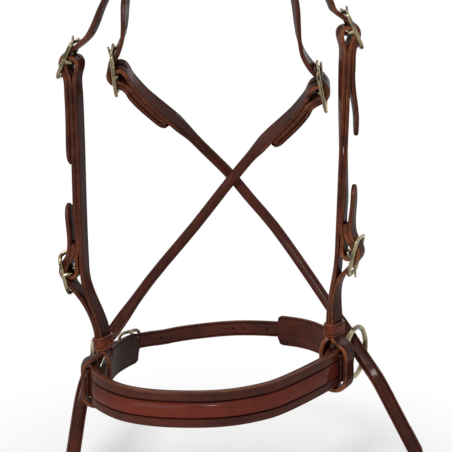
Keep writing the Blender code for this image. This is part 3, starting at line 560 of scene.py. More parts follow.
def fine(stations, spacing=row_spacing):
    """The same strap with close stations, on a smooth line through the given ones."""
    kept = [stations[0]]
    for station in stations[1:]:
        if (station.place - kept[-1].place).length > touching:
            kept.append(station)
    gaps = [(b.place - a.place).length for a, b in zip(kept, kept[1:])]
    slopes = [(b.place - a.place) / gap for a, b, gap in zip(kept, kept[1:], gaps)]
    turns = [slopes[0]]
    for before, after, near, far in zip(slopes, slopes[1:], gaps, gaps[1:]):
        turns.append((before * far + after * near) / (near + far))
    turns.append(slopes[-1])
    made = []
    for i, gap in enumerate(gaps):
        pieces = max(2, math.ceil(gap / spacing))
        for step in range(pieces):
            t = step / pieces
            place = hermite(kept[i].place, turns[i] * gap, kept[i + 1].place, turns[i + 1] * gap, t)
            made.append(mixed(kept[i], kept[i + 1], t, place))
    return made + [kept[-1]]


def eased_ends(stations, ease=0.9 * mm):
    """The stations with both ends rounded over, so a strap doesn't stop in a sharp square edge."""
    made = []
    for station, way in ((stations[0], -ways(stations)[0]), (stations[-1], ways(stations)[-1])):
        rounding = []
        for back, thin in ease_profile:
            place = station.place - way * ease * back
            half = max(station.half - ease * (1 - back) * (1 - back), station.half * thin)
            rounding.append(station.moved(place, half, station.deep * thin))
        made.append(rounding)
    inner = stretch(stations, ease * 2, length_of(stations) - ease * 2)
    return made[0][::-1] + inner + made[1]


def strap_section(station):
    """A strap's section: across, out, and how far each corner is on a crease line or on an edge."""
    look = bpy.context.scene.bridle_leather
    a, b = station.half, station.deep
    ease = b * 0.8
    quarter = [
        (a - ease + ease * math.cos(t), b - ease + ease * math.sin(t), 0.0, edge)
        for t, edge in zip(arc_angles, (0.7, 1.0, 1.0, 0.5))
    ]
    room = smooth((a - ease - look.crease_in * 0.4) / look.crease_in)
    middle = a - look.crease_in
    low = b - look.crease_depth * room * (1 - station.roundness)
    quarter += [
        (middle + look.crease_width / 2, b, 0.15, 0.1),
        (middle, low, room, 0.0),
        (middle - look.crease_width / 2, b, 0.15, 0.0),
        (a * 0.35, b * 1.02, 0.0, 0.0),
    ]
    ring = quarter + [(-x, y, c, e) for x, y, c, e in quarter[::-1]]
    ring += [(-x, -y, c, e) for x, y, c, e in quarter[1:]]
    ring += [(x, -y, c, e) for x, y, c, e in quarter[:0:-1]]
    if station.roundness <= 0:
        return ring
    lengths = [0.0]
    for near, far in zip(ring, ring[1:] + ring[:1]):
        lengths.append(lengths[-1] + math.hypot(far[0] - near[0], far[1] - near[1]))
    made = []
    keep, share = 1 - station.roundness, station.roundness
    for (x, y, crease, edge), run in zip(ring, lengths):
        angle = 2 * math.pi * run / lengths[-1]
        round_x, round_y = a * math.cos(angle), b * math.sin(angle)
        made.append((x * keep + round_x * share, y * keep + round_y * share, crease * keep, edge * keep))
    return made


def wire_section(station, sides=16):
    """A round section."""
    angles = [2 * math.pi * i / sides for i in range(sides)]
    # The third number marks the wire's sides, which the steel finish darkens as painted shade
    return [
        (station.half * math.cos(t), station.deep * math.sin(t), abs(math.sin(t)) ** 3, 0.0) for t in angles
    ]


def new_body():
    body = bmesh.new()
    body.verts.layers.float_vector.new("lay")
    body.verts.layers.float_vector.new("mark")
    return body


def skin(body, stations, section=strap_section, closed=False):
    """Adds a strap or wire: a grid laid onto the stations' sections, its seam merged and its ends filled."""
    rows = len(stations) if closed else len(stations) - 1
    lines = ways(stations, closed)
    rings = []
    for i, (station, way, run) in enumerate(zip(stations, lines, runs_of(stations))):
        across = square(station.across, way)
        out = way.cross(across)
        before, after = max(i - 1, 0), min(i + 1, len(stations) - 1)
        gap = (stations[after].place - stations[before].place).length
        bend = min(1.0, (lines[after] - lines[before]).length / max(gap, touching) * bend_size)
        rings.append([
            (station.place + across * x + out * y, (x, run, y), (crease, edge, bend))
            for x, y, crease, edge in section(station)
        ])
    sides = len(rings[0])
    grid = bmesh.ops.create_grid(body, x_segments=rows, y_segments=sides, size=0.5)["verts"]
    lay = body.verts.layers.float_vector["lay"]
    mark = body.verts.layers.float_vector["mark"]
    for vert in grid:
        row = round((vert.co.x + 0.5) * rows) % len(rings)
        vert.co, vert[lay], vert[mark] = rings[row][round((vert.co.y + 0.5) * sides) % sides]
    bmesh.ops.remove_doubles(body, verts=grid, dist=1e-6)
    left = [vert for vert in grid if vert.is_valid]
    faces = {face for vert in left for face in vert.link_faces}
    if not closed:
        rim = [edge for edge in {e for v in left for e in v.link_edges} if edge.is_boundary]
        faces |= set(bmesh.ops.holes_fill(body, edges=rim, sides=0)["faces"])
    bmesh.ops.recalc_face_normals(body, faces=list(faces))
    return body


def plain_mesh(name, body):
    mesh = bpy.data.meshes.new(name)
    body.to_mesh(mesh)
    body.free()
    return mesh


def mesh_of(name, body, sharp=sharp_angle):
    mesh = plain_mesh(name, body)
    mesh.shade_smooth()
    mesh.set_sharp_from_angle(angle=sharp)
    return mesh


def linked(name, data):
    """A new object in the scene."""
    made = bpy.data.objects.new(name, data)
    bpy.context.scene.collection.objects.link(made)
    return made


def place_piece(name, mesh, finish, nodes=(), body="bridle"):
    """Adds a finished piece that rides a body and stands for the nodes given."""
    piece = linked(name, mesh)
    mesh.materials.clear()
    mesh.materials.append(finish)
    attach(piece, body)
    if nodes:
        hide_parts(*nodes)
    return piece


def place_leather(name, mesh, finish):
    return place_piece(name + "_leather", mesh, finish, [name])


def place_steel(name, body, rides):
    mesh = mesh_of(name, body, wire_sharp_angle)
    return place_piece(name + "_steel", mesh, steel_finish(), [name], rides)


def place_stitching(name, body):
    name += "_stitching"
    return place_piece(name, mesh_of(name, body), thread_finish())


def punched(mesh, cutters):
    """The mesh with every hole cut through it."""
    whole = linked(mesh.name, mesh)
    things = [whole]
    for number, cutter in enumerate(cutters):
        tool = linked(mesh.name + "_punch_" + str(number), plain_mesh("punch", cutter))
        things.append(tool)
        cut = whole.modifiers.new(tool.name, "BOOLEAN")
        cut.operation, cut.object, cut.solver = "DIFFERENCE", tool, "EXACT"
    graph = bpy.context.evaluated_depsgraph_get()
    made = bpy.data.meshes.new_from_object(whole.evaluated_get(graph))
    for thing in things:
        bpy.data.objects.remove(thing, do_unlink=True)
    made.name = mesh.name
    made.set_sharp_from_angle(angle=sharp_angle)
    return made


def strap_mesh(name, stations, *cutters):
    """A strap laid over close stations, its ends eased and its holes cut."""
    mesh = mesh_of(name, skin(new_body(), eased_ends(stations)))
    return punched(mesh, cutters) if cutters else mesh


def joined(name, layers):
    """One mesh of several closed layers."""
    body = bmesh.new()
    for layer in layers:
        body.from_mesh(layer)
        bpy.data.meshes.remove(layer)
    return mesh_of(name, body)


def round_cutter(body, centre, axis, radius, depth, long_way=None, longer=1.0, segments=16):
    """Adds a closed round or oval punch."""
    z = axis.normalized()
    x = square((long_way or z.orthogonal()).normalized(), z)
    turn = Matrix((x, z.cross(x), z)).transposed().to_4x4()
    shape = Matrix.Translation(centre) @ turn @ Matrix.Diagonal((longer, 1, 1, 1))
    bmesh.ops.create_cone(
        body, cap_ends=True, segments=segments, radius1=radius, radius2=radius, depth=depth, matrix=shape
    )
    return body


def spots(stations, distances):
    """The stations and ways at distances along a strap."""
    made = []
    run = 0.0
    for near, far in zip(stations, stations[1:]):
        piece = (far.place - near.place).length
        for mark in distances:
            if run <= mark < run + piece:
                share = (mark - run) / piece
                station = mixed(near, far, share, near.place.lerp(far.place, share))
                way = (far.place - near.place).normalized()
                station.across = square(station.across, way)
                made.append((station, way))
        run += piece
    return made


def run_at(stations, x):
    """How far along the stations they pass a place on the way to the left."""
    runs = runs_of(stations)
    for near, far, run in zip(stations, stations[1:], runs):
        if far.place.x < x <= near.place.x:
            return run
    return runs[-1]


def stitch_row(body, stations, offset, lift, first, last, outward):
    """Stitches along a strap, offset across it, lying lift above its middle surface."""
    sewing = bpy.context.scene.bridle_thread
    pitch = sewing.length + sewing.gap
    count = max(1, round((last - first) / pitch))
    marks = [first + (last - first) * (i + 0.5) / count for i in range(count)]
    for station, way in spots(stations, marks):
        out = towards(way.cross(station.across), outward or Vector((station.place.x, station.place.y, 0)))
        lean = way * math.cos(sewing.slant) + station.across * math.sin(sewing.slant)
        wide = lean.cross(out)
        turn = Matrix((wide, out, lean)).transposed().to_4x4()
        size = Matrix.Diagonal((sewing.thick / 2, sewing.thick / 2, sewing.length / 2, 1))
        centre = station.place + station.across * offset + out * lift
        bmesh.ops.create_uvsphere(
            body, u_segments=6, v_segments=5, radius=1, matrix=Matrix.Translation(centre) @ turn @ size
        )


def stitch_edges(body, stations, width, inset, thick, first, last, outward=None):
    """A row of stitches along each edge of a strap, sunk a little into its face."""
    for offset in (inset - width / 2, width / 2 - inset):
        stitch_row(body, stations, offset, thick / 2 - thread_sink, first, last, outward)


def hole_row(body, stations, distances, depth):
    """Punches through a strap at distances along it."""
    radius = bpy.context.scene.bridle_leather.hole / 2
    for station, way in spots(stations, distances):
        round_cutter(body, station.place, way.cross(station.across), radius, depth)


class Buckle:
    """An oval frame with a dropped bar, and the places of the straps that go round it.

    s runs from the bar down the chape and o runs outward from the chape's middle plane. In the frame's
    own axes, v points to the end that the billet comes in under and w points outward.
    """

    def __init__(self, name, bar, chape_way, across, outward, width, length, wire, thick, fold, lean, dip):
        self.name = name
        self.bar = Vector(bar)
        self.down = chape_way.normalized()
        self.across = square(across, self.down)
        self.out = towards(self.down.cross(self.across), outward)
        self.width, self.wire, self.thick, self.fold = width, wire, thick, fold
        self.lean, self.dip = lean, dip
        self.half_length = (length - wire) / 2
        self.half_width = (width + wire) / 2 + buckle_side_play
        self.wire_radius = wire / 2
        self.bar_radius = self.wire_radius * bar_share
        self.step = thick + fit
        self.over = fold + self.step
        self.seat = fold - thick / 2 - self.bar_radius - fit
        self.v = -self.down * math.cos(lean) - self.out * math.sin(lean)
        self.w = self.out * math.cos(lean) - self.down * math.sin(lean)
        top = self.over + thick / 2 + self.wire_radius + fit * 3
        top -= self.seat * math.cos(math.pi / 2 - dip - lean)
        self.inset = (top - self.half_length * math.sin(dip)) / math.cos(dip)

    def at(self, s, o):
        return self.bar + self.down * s + self.out * o

    def local(self, u, v, w):
        return self.bar + self.across * u + self.v * v + self.w * w

    def round_fold(self, radius, angle):
        """A place round the fold's centre: angle 0 is its far end, a right angle is its outer side."""
        return self.at(self.seat - radius * math.cos(angle), radius * math.sin(angle))

    def station(self, place):
        return Station(place, self.across, self.width / 2, self.thick / 2)

    def gather(self, s):
        """How far a leg of the chape stands off the middle plane, s down from the bar."""
        share = smooth((s - self.seat) / chape_run)
        return self.fold * (1 - share) + self.step / 2 * share

    def leg(self, side, extra=0.0, count=4):
        """Stations of one leg from the bar to where the two legs lie together."""
        marks = [self.seat + chape_run * i / count for i in range(1, count + 1)]
        return [self.station(self.at(s, side * (self.gather(s) + extra))) for s in marks]

    def chape(self, count=9):
        """The folded end: up the inner leg, round the bar and down the outer leg."""
        arc = [math.pi * (i / (count - 1) - 0.5) for i in range(count)]
        turn = [self.station(self.round_fold(self.fold, angle)) for angle in arc]
        return self.leg(-1)[::-1] + turn + self.leg(1)

    def billet_way(self):
        """The way back up the billet from the fold, under the frame's end."""
        angle = self.dip + self.lean
        return -self.down * math.cos(angle) - self.out * math.sin(angle)

    def billet(self, count=4):
        """The billet from where it comes in, over the fold, to the end of the gathered legs."""
        last = math.pi / 2 - self.dip - self.lean
        arc = [last + (math.pi / 2 - last) * i / (count - 1) for i in range(count)]
        turn = [self.station(self.round_fold(self.over, angle)) for angle in arc]
        run = self.half_length * math.cos(self.dip) + self.wire
        lead = [self.station(turn[0].place + self.billet_way() * run * share) for share in (1, 0.5)]
        return lead + turn + self.leg(1, self.step)

    def tongue_line(self):
        """The tongue's angle in the frame's plane, the radius of its curl round the bar and of its wire."""
        wire = self.bar_radius * tongue_share
        curl = self.bar_radius + fit + wire
        clear = self.wire_radius + wire + fit
        far = math.hypot(self.half_length, self.inset)
        angle = math.atan2(self.inset, self.half_length) - math.asin((curl - clear) / far)
        return angle, curl, wire

    def make_frame(self):
        """The polished frame, a little flat in section, with its bar between two bosses."""
        body = new_body()
        stations = []
        for i in range(frame_count):
            angle = 2 * math.pi * i / frame_count
            x, y = math.cos(angle), math.sin(angle)
            u = self.half_width * math.copysign(abs(x) ** frame_squareness, x)
            v = self.half_length * math.copysign(abs(y) ** frame_squareness, y)
            place = self.local(u, v, self.inset)
            stations.append(Station(place, self.w, self.wire_radius * 0.92, self.wire_radius * 1.06))
        stations = even(stations + stations[:1], length_of(stations) / frame_count)[:-1]
        skin(body, stations, wire_section, closed=True)
        room = self.width / 2 + fit * 2
        rise = self.half_width - room
        side = [(room + rise * a, self.inset * b) for a, b in boss_profile]
        line = [(-u, w) for u, w in side[::-1]] + side
        bar = [
            Station(self.local(u, 0, w), self.v, self.bar_radius * more, self.bar_radius * more)
            for (u, w), more in zip(line, boss_swell[::-1] + boss_swell)
        ]
        skin(body, fine(bar, close_spacing), wire_section)
        return place_steel(self.name, body, "bridle")

    def make_tongue(self):
        """The tongue: curled round the bar, straight and tapering to its rounded tip on the frame."""
        angle, curl, wire = self.tongue_line()
        start = angle + math.pi / 2
        stations = []
        for i in range(tongue_count, -1, -1):
            a = start + tongue_curl * i / tongue_count
            place = self.local(0, curl * math.cos(a), curl * math.sin(a))
            stations.append(Station(place, self.across, wire * (1.15 - 0.15 * i / tongue_count), wire))
        reach = math.hypot(self.half_length, self.inset) + self.wire_radius + tongue_overhang
        for share, thin in tongue_profile:
            v = curl * math.cos(start) + reach * share * math.cos(angle)
            w = curl * math.sin(start) + reach * share * math.sin(angle)
            stations.append(Station(self.local(0, v, w), self.across, wire * thin, wire * min(1, thin)))
        body = skin(new_body(), fine(stations, tongue_spacing), wire_section)
        name = self.name.replace("buckle", "tongue")
        return place_steel(name, body, name)

    def slot(self, body):
        """The long hole in the fold that the tongue's curl sits in."""
        wire = self.tongue_line()[2]
        radius = self.fold + (self.thick + fit) / 2
        centre = self.at(self.seat, 0)
        return round_cutter(body, centre, self.across, radius, (wire + slot_play) * 2, segments=24)

    def hole(self, body):
        """The long hole that the tongue comes through, where the two cross."""
        angle, curl, wire = self.tongue_line()
        start = self.local(0, curl * math.cos(angle + math.pi / 2), curl * math.sin(angle + math.pi / 2))
        way = self.v * math.cos(angle) + self.w * math.sin(angle)
        arc = math.pi / 2 - self.dip - self.lean
        normal = -self.down * math.cos(arc) + self.out * math.sin(arc)
        run = (self.over - (start - self.at(self.seat, 0)).dot(normal)) / way.dot(normal)
        radius = wire + slot_play
        longer = (self.thick + radius * 2) / radius / hole_trim
        return round_cutter(
            body, start + way * run, normal, radius, self.thick * 3, self.billet_way(), longer
        )


def tapered_tip(stations, way, length=tip_length):
    """The stations with a rounded point added past the last one."""
    last = stations[-1]
    tip = [last.moved(last.place + way * length * run, last.half * width) for run, width in tip_profile]
    return list(stations) + tip


def flared(stations, half, reach=ring_chape_flare):
    """The stations widened to a half width over a reach."""
    made = []
    for station, run in zip(stations, runs_of(stations)):
        share = smooth(run / reach)
        made.append(station.moved(station.place, station.half * (1 - share) + half * share))
    return made


class Loop:
    """The closed curve that the noseband and chin strap follow, seen from above, on one tilted plane.

    Run 0 is where the left ring's strap turns. Runs grow forward over the nose to the right ring at
    front_run, and go on round the back to the left again.
    """

    def __init__(self):
        points = [
            Vector((x * nose_half_width, y * (nose_front if y < 0 else nose_back), 0))
            for x, y in nose_plan_shares
        ]
        count = len(points)
        pieces = 16
        self.dense = []
        for i in range(count):
            four = [points[(i + k) % count] for k in (-1, 0, 1, 2)]
            for step in range(pieces):
                place = curve_point(*four, step / pieces)
                place.z = place.x * math.tan(nose_roll) - nose_drop
                self.dense.append(place)
        self.runs = [0.0]
        for near, far in zip(self.dense, self.dense[1:] + self.dense[:1]):
            self.runs.append(self.runs[-1] + (far - near).length)
        self.length = self.runs[-1]
        self.front_run = self.runs[pieces * (nose_front_points - 1)]

    def plain(self, run):
        run %= self.length
        count = len(self.dense)
        low = max(i for i in range(count) if self.runs[i] <= run)
        share = (run - self.runs[low]) / (self.runs[low + 1] - self.runs[low])
        return self.dense[low].lerp(self.dense[(low + 1) % count], share)

    def frame(self, run):
        """The place, the way forward and the outward side at a run."""
        small = self.length / 400
        way = (self.plain(run + small) - self.plain(run - small)).normalized()
        place = self.plain(run)
        return place, way, towards(way.cross(upward).normalized(), Vector((place.x, place.y, 0)))

    def station(self, run, offset, half, thick):
        place, way, out = self.frame(run)
        return Station(place + out * offset, out.cross(way), half, thick / 2)

    def marks(self, start, end):
        """Runs from start to end on one even grid, so that layers share their facets."""
        step = self.length / round(self.length / loop_step)
        low, high = min(start, end), max(start, end)
        inner = [i * step for i in range(-60, 160) if low + step / 4 < i * step < high - step / 4]
        runs = [low] + inner + [high]
        return runs if end > start else runs[::-1]

    def strap(self, start, end, offset, half, thick):
        return [self.station(run, offset, half, thick) for run in self.marks(start, end)]


class Cheek:
    """One side's cheekpiece: both its buckles, the keeper, and the places of its layers."""

    def __init__(self, side, name, bar, foot, twists, keeper):
        self.side, self.name = side, name
        self.outward = Vector((side, 0, 0))
        self.step = strap_thick + fit
        bar = Vector((side * bar[0], cheek_plane, -bar[1]))
        foot = Vector((side * foot[0], cheek_plane, -foot[1]))
        down = (foot - bar - self.outward * self.step / 2).normalized()
        self.top = self.buckle("top", bar, down, self.turned(twists[0]))
        across = self.turned(twists[1])
        stand = towards(down.cross(across), self.outward)
        up = -down * math.cos(low_tilt) - stand * math.sin(low_tilt)
        self.low = self.buckle("low", foot + stand * bottom_bar_stand, up, across)
        self.foot = Station(foot, across, cheek_width / 2)
        place = Vector((side * keeper[0], keeper_plane, -keeper[1]))
        self.keeper = Station(place, self.turned(twists[2]), cheek_width / 2)
        self.keeper_up = square((foot - place).normalized() + upward, self.keeper.across)

    def buckle(self, level, bar, chape_way, across):
        name = self.name + "_" + level + "_buckle"
        size = (cheek_width, cheek_buckle_length, cheek_wire, strap_thick)
        return Buckle(name, bar, chape_way, across, self.outward, *size, fold_radius, cheek_lean, cheek_dip)

    def turned(self, angle):
        """The way across a strap that shows its inner face by this angle from the front."""
        return Vector((-self.side * math.sin(angle), math.cos(angle), 0))

    def hang(self, loop, run):
        """The loop under the noseband, from the keeper's inner place to its outer place."""
        place, way, out = loop.frame(run)
        across = towards(way, self.keeper.across)
        radius = (hang_outer + hang_inner) / 2
        middle = (hang_outer - hang_inner) / 2

        def spot(offset, rise):
            return Station(place + out * offset + upward * rise, across, cheek_width / 2)

        made = [spot(-hang_inner, hang_inner_rise), spot(-hang_inner, 0)]
        turns = 10
        for i in range(turns + 1):
            angle = math.pi * i / turns
            made.append(spot(middle - radius * math.cos(angle), -hang_drop - hang_depth * math.sin(angle)))
        made += [spot(hang_outer, 0), spot(hang_outer, hang_outer_rise)]
        rise = self.keeper_up * (keeper_height / 2 + fit)
        side = towards(self.keeper_up.cross(self.keeper.across), self.outward)
        ends = []
        for layer, lift in ((-1, 1), (-1, -1), (1, -1), (1, 1)):
            ends.append(self.keeper.moved(self.keeper.place + side * layer * self.step / 2 + rise * lift))
        before = bridge(ends[1], -rise, made[0], -upward, hang_in_count)
        after = bridge(made[-1], upward, ends[2], rise, hang_out_count)
        return ends[:2] + before + made + after + ends[2:]

    def layers(self, loop, run):
        """All stations of the cheekpiece, its low billet among them. Keeps its outer fall and its turned end.
        """
        top_inner, top_outer = self.top.leg(-1), self.top.leg(1)
        down = self.top.down
        hang = self.hang(loop, run)
        inner = [top_inner[-1]] + bridge(top_inner[-1], down, self.foot, down, inner_count) + [self.foot]
        to_keeper = bridge(self.foot, down, hang[0], -self.keeper_up, to_keeper_count)
        beside = along(inner, self.step, self.outward)
        stay = [s for s in beside[1:] if s.place.z > self.low.bar.z + outer_leaves]
        low_inner = self.low.leg(-1)[-1]
        rise = [low_inner] + bridge(low_inner, self.low.down, stay[-1], -down, rise_count) + stay[::-1]
        self.fall = [top_outer[-1]] + rise[::-1]
        low_turn = self.low.chape()
        grip = low_turn[-1].place - self.low.bar
        self.turned_back = stretch(along(rise, self.step, self.outward), 0, turned_end - grip.length)
        billet = self.low.billet()
        lie = stretch(along(rise, self.step * 2, self.outward), 0, lower_billet_reach - grip.length)[1:]
        hang_up = bridge(hang[-1], self.keeper_up, billet[0], -self.low.billet_way(), hang_up_count)
        tip = tapered_tip(billet + lie, (lie[-1].place - lie[-2].place).normalized())
        path = self.turned_back[:0:-1] + low_turn[::-1] + rise[1:]
        path += self.top.chape()[::-1] + inner[1:] + to_keeper + hang + hang_up + tip
        return path

    def rest(self):
        """Where the crown's billet lies, with its tip standing off."""
        lift = right_billet_lift if self.side > 0 else left_billet_lift
        return settle(
            self.fall, self.step, self.step + lift, billet_lift_from, billet_lift_run, self.outward
        )


class Cross:
    """One crossed jaw strap with its buckle at the top and its rein ring at the foot."""

    def __init__(self, side, name, bar, chape_way, angle, lean, shares, last_across):
        self.name = name
        self.outward = Vector((side, 0, 0))
        across = Vector((-side * math.sin(angle), math.cos(angle), 0))
        bar = Vector((side * bar[0], cross_plane, -bar[1]))
        size = (cross_width, cross_buckle_length, cheek_wire, strap_thick)
        buckle = name + "_cross_buckle"
        way = Vector(chape_way)
        self.buckle = Buckle(buckle, bar, way, across, self.outward, *size, fold_radius, lean, cross_dip)
        start = self.buckle.leg(-1)[-1]
        points = [Vector(share) * path_unit for share in shares]
        lead = self.buckle.bar + self.buckle.down * cross_lead
        line = through([start.place, lead] + points, 3)
        last = Station(points[-1], last_across, rein_width / 2, rein_thick / 2)
        rough = [mixed(start, last, i / (len(line) - 1), p) for i, p in enumerate(line)]
        self.main = self.rolled([start] + even(rough, cross_step)[1:])

    def rolled(self, stations):
        """The strap rolled past the turned-back end, and flat again before the ring."""
        made = []
        runs = runs_of(stations)
        for station, run in zip(stations, runs):
            roll = smooth((run - roll_start) / roll_ease)
            flat = smooth((run - runs[-1] + rein_flat) / roll_ease)
            roll_on = roll * (1 - flat)
            sizes = (cross_width, strap_thick) if flat <= 0 else (rein_width, rein_thick)
            half, deep = (size / 2 * (1 - roll_on) + rolled_diameter / 2 * roll_on for size in sizes)
            made.append(Station(station.place, station.across, half, deep, roll_on))
        return made

    def flat_count(self):
        return sum(1 for s in self.main if s.roundness < flat_below and s.half > rein_width / 2 + fit)

    def rest(self):
        """Where the crown's billet lies on the turned-back end."""
        return along(self.main[:self.flat_count()], self.buckle.step * 2 + fit * 2, self.outward)

    def tail(self):
        """The sewn fold at the strap's foot, and the centre and ways of the rein ring in it."""
        end = self.main[-1]
        way = ways(self.main)[-1]
        across = square(end.across, way)
        side = towards(way.cross(across), -rearward)
        layer = (rein_thick + fit) / 2
        radius = rein_ring_wire / 2 + tail_play + rein_thick / 2
        centre = end.place + way * tail_run - side * layer

        def spot(offset, back):
            return end.moved(centre + side * offset - way * back, tail_half)

        leg = []
        for i in (1, 2, 3):
            share = smooth(i / 3)
            leg.append((layer * (1 - share) + radius * share, tail_run * (1 - i / 3)))
        made = [spot(offset, back) for offset, back in leg]
        for i in range(1, turn_steps):
            angle = math.pi * i / turn_steps
            made.append(spot(radius * math.cos(angle), -radius * math.sin(angle)))
        made += [spot(-offset, back) for offset, back in leg[::-1]]
        self.flap = along(self.main[-tail_sewn_count:], layer * 2, -side)[::-1]
        major = (rein_ring_inside + rein_ring_wire) / 2
        return made + self.flap, (centre + way * major, across, way)

    def path(self):
        turned = along(self.main[:self.flat_count()], self.buckle.step, self.outward)
        self.turned_back = stretch(turned, 0, cross_turned_end)
        return self.turned_back[:0:-1] + self.buckle.chape()[::-1] + self.main[1:] + self.tail()[0]


def crown_arch(side, angle, plane):
    """A place on the crownpiece's middle surface, by the angle turned past the flat seat."""
    x = seat_half_length + (crown_arch_half - seat_half_length) * math.sin(angle)
    z = -crown_arch_drop * (1 - math.cos(angle))
    return Vector((side * x, plane, z + crown_thick / 2))


def crown_tail(side, buckle, plane, width, out, rest, reach):
    """One strap of the crownpiece from the poll's middle over its buckle's fold to its tip."""
    start = math.copysign(middle_plane, plane)
    angles = [arch_sweep * i / arch_steps for i in range(arch_steps + 1)]
    made = [Station(crown_arch(side, angle, start), rearward, middle_half) for angle in angles]
    across = Vector((-side * math.sin(tail_turn), math.cos(tail_turn), 0))
    level = Station((side * out, plane, -crown_arch_drop), across, width / 2)
    billet = buckle.billet()
    way = (billet[0].place - level.place).normalized()
    made += bridge(made[-1], made[-1].place - made[-2].place, level, way, 5) + [level]
    made += bridge(level, way, billet[0], -buckle.billet_way(), 4) + billet
    grip = (billet[-1].place - buckle.bar).length
    lie = stretch(rest, 0, reach - grip)[1:]
    return tapered_tip(made + lie, (lie[-1].place - lie[-2].place).normalized())


class Plan:
    """Where every strap, buckle and ring of the bridle lies."""

    def __init__(self):
        self.loop = Loop()
        self.left = Cheek(-1, "left", left_cheek_bar, left_foot, left_twists, left_keeper)
        self.right = Cheek(1, "right", right_cheek_bar, right_foot, right_twists, right_keeper)
        self.cheek_paths = {
            "left": self.left.layers(self.loop, hang_run),
            "right": self.right.layers(self.loop, self.loop.front_run - hang_run),
        }
        self.left_cross = Cross(
            -1, "left", left_cross_bar, left_cross_way, left_cross_twist, left_cross_lean,
            left_cross_path_shares, left_cross_last,
        )
        self.right_cross = Cross(
            1, "right", right_cross_bar, right_cross_way, right_cross_twist, right_cross_lean,
            right_cross_path_shares, right_cross_last,
        )
        self.chin_buckle()

    def chin_buckle(self):
        layer = chin_thick + fit
        middle = chin_offset + layer / 2 + chin_buckle_stand
        place, way, out = self.loop.frame(-chin_buckle_back)
        fold = chin_thick / 2 + chin_wire * bar_share / 2 + fit * 2
        self.chin = Buckle(
            "chin_buckle", place + out * middle, way, out.cross(way), out,
            chin_width, chin_buckle_length, chin_wire, chin_thick, fold, chin_lean, chin_dip,
        )


@functools.cache
def plan():
    return Plan()


class Value:
    """A shader socket. Arithmetic on it adds the Math nodes."""

    def __init__(self, tree, socket):
        self.tree, self.socket = tree, socket

    def math(self, operation, first, second=0.0):
        return self.tree.node("ShaderNodeMath", {"operation": operation}, {0: first, 1: second})

    def __add__(self, other):
        return self.math("ADD", self, other)

    def __radd__(self, other):
        return self.math("ADD", other, self)

    def __sub__(self, other):
        return self.math("SUBTRACT", self, other)

    def __rsub__(self, other):
        return self.math("SUBTRACT", other, self)

    def __mul__(self, other):
        return self.math("MULTIPLY", self, other)

    def __rmul__(self, other):
        return self.math("MULTIPLY", other, self)

    def __abs__(self):
        return self.math("ABSOLUTE", self)


class Tree:
    """A node tree as it is being made."""

    def __init__(self, nodes):
        self.tree = nodes

    def node(self, kind, settings=None, values=None, output=0):
        """Adds any node: its settings first, then the values or links of its sockets."""
        made = self.tree.nodes.new(kind)
        for name, value in (settings or {}).items():
            setattr(made, name, value)
        for name, value in (values or {}).items():
            self.plug(made.inputs[name], value)
        return Value(self, made.outputs[output])

    def plug(self, socket, value):
        if isinstance(value, Value):
            self.tree.links.new(value.socket, socket)
        elif value is not None:
            socket.default_value = value

    def seen(self):
        """Where a ray comes from the camera, a reflection or a transmission."""
        outputs = self.node("ShaderNodeLightPath").socket.node.outputs
        camera, glossy, through_glass = (
            Value(self, outputs[name]) for name in ("Is Camera Ray", "Is Glossy Ray", "Is Transmission Ray")
        )
        return camera.math("MAXIMUM", camera.math("MAXIMUM", camera, glossy), through_glass)


class Finish(Tree):
    """A material as it is being made."""

    def __init__(self, name):
        self.material = bpy.data.materials.new(name)
        self.material.use_nodes = True
        super().__init__(self.material.node_tree)
        self.shader = self.tree.nodes["Principled BSDF"]

    def set(self, **values):
        """Plugs the shader's own sockets, named with underscores."""
        for name, value in values.items():
            self.plug(self.shader.inputs[name.replace("_", " ")], value)

    def principled(self):
        return Value(self, self.shader.outputs[0])

    def place(self):
        return self.node("ShaderNodeTexCoord", output="Object")

    def attribute(self, name):
        """The three numbers of one of the piece's attributes."""
        vector = self.node("ShaderNodeAttribute", {"attribute_name": name}, output="Vector")
        return [self.node("ShaderNodeSeparateXYZ", None, {0: vector}, i) for i in range(3)]

    def point(self, x, y, z):
        return self.node("ShaderNodeCombineXYZ", None, {0: x, 1: y, 2: z})

    def laid(self, lay, scales):
        """The places across, along and out of the strap, each at its own scale."""
        return self.point(*(value * scale for value, scale in zip(lay, scales)))

    def noise(self, vector, scale, detail=3.0, roughness=0.55, distortion=0.0):
        values = {
            "Vector": vector, "Scale": scale, "Detail": detail, "Roughness": roughness,
            "Distortion": distortion,
        }
        return self.node("ShaderNodeTexNoise", None, values)

    def cells(self, vector, scale):
        return self.node("ShaderNodeTexVoronoi", None, {"Vector": vector, "Scale": scale}, "Distance")

    def ramp(self, value, low, high, first=0.0, last=1.0):
        """A smooth step of a value from one number to another."""
        values = {"Value": value, "From Min": low, "From Max": high, "To Min": first, "To Max": last}
        return self.node("ShaderNodeMapRange", {"interpolation_type": "SMOOTHSTEP"}, values)

    def mix(self, share, first, last):
        """A colour between two others."""
        first = (*first, 1) if isinstance(first, (tuple, list)) else first
        last = (*last, 1) if isinstance(last, (tuple, list)) else last
        return self.node("ShaderNodeMix", {"data_type": "RGBA"}, {0: share, 6: first, 7: last}, 2)

    def bump(self, height, distance, strength=1.0, under=None):
        values = {"Height": height, "Distance": distance, "Strength": strength, "Normal": under}
        return self.node("ShaderNodeBump", None, values)


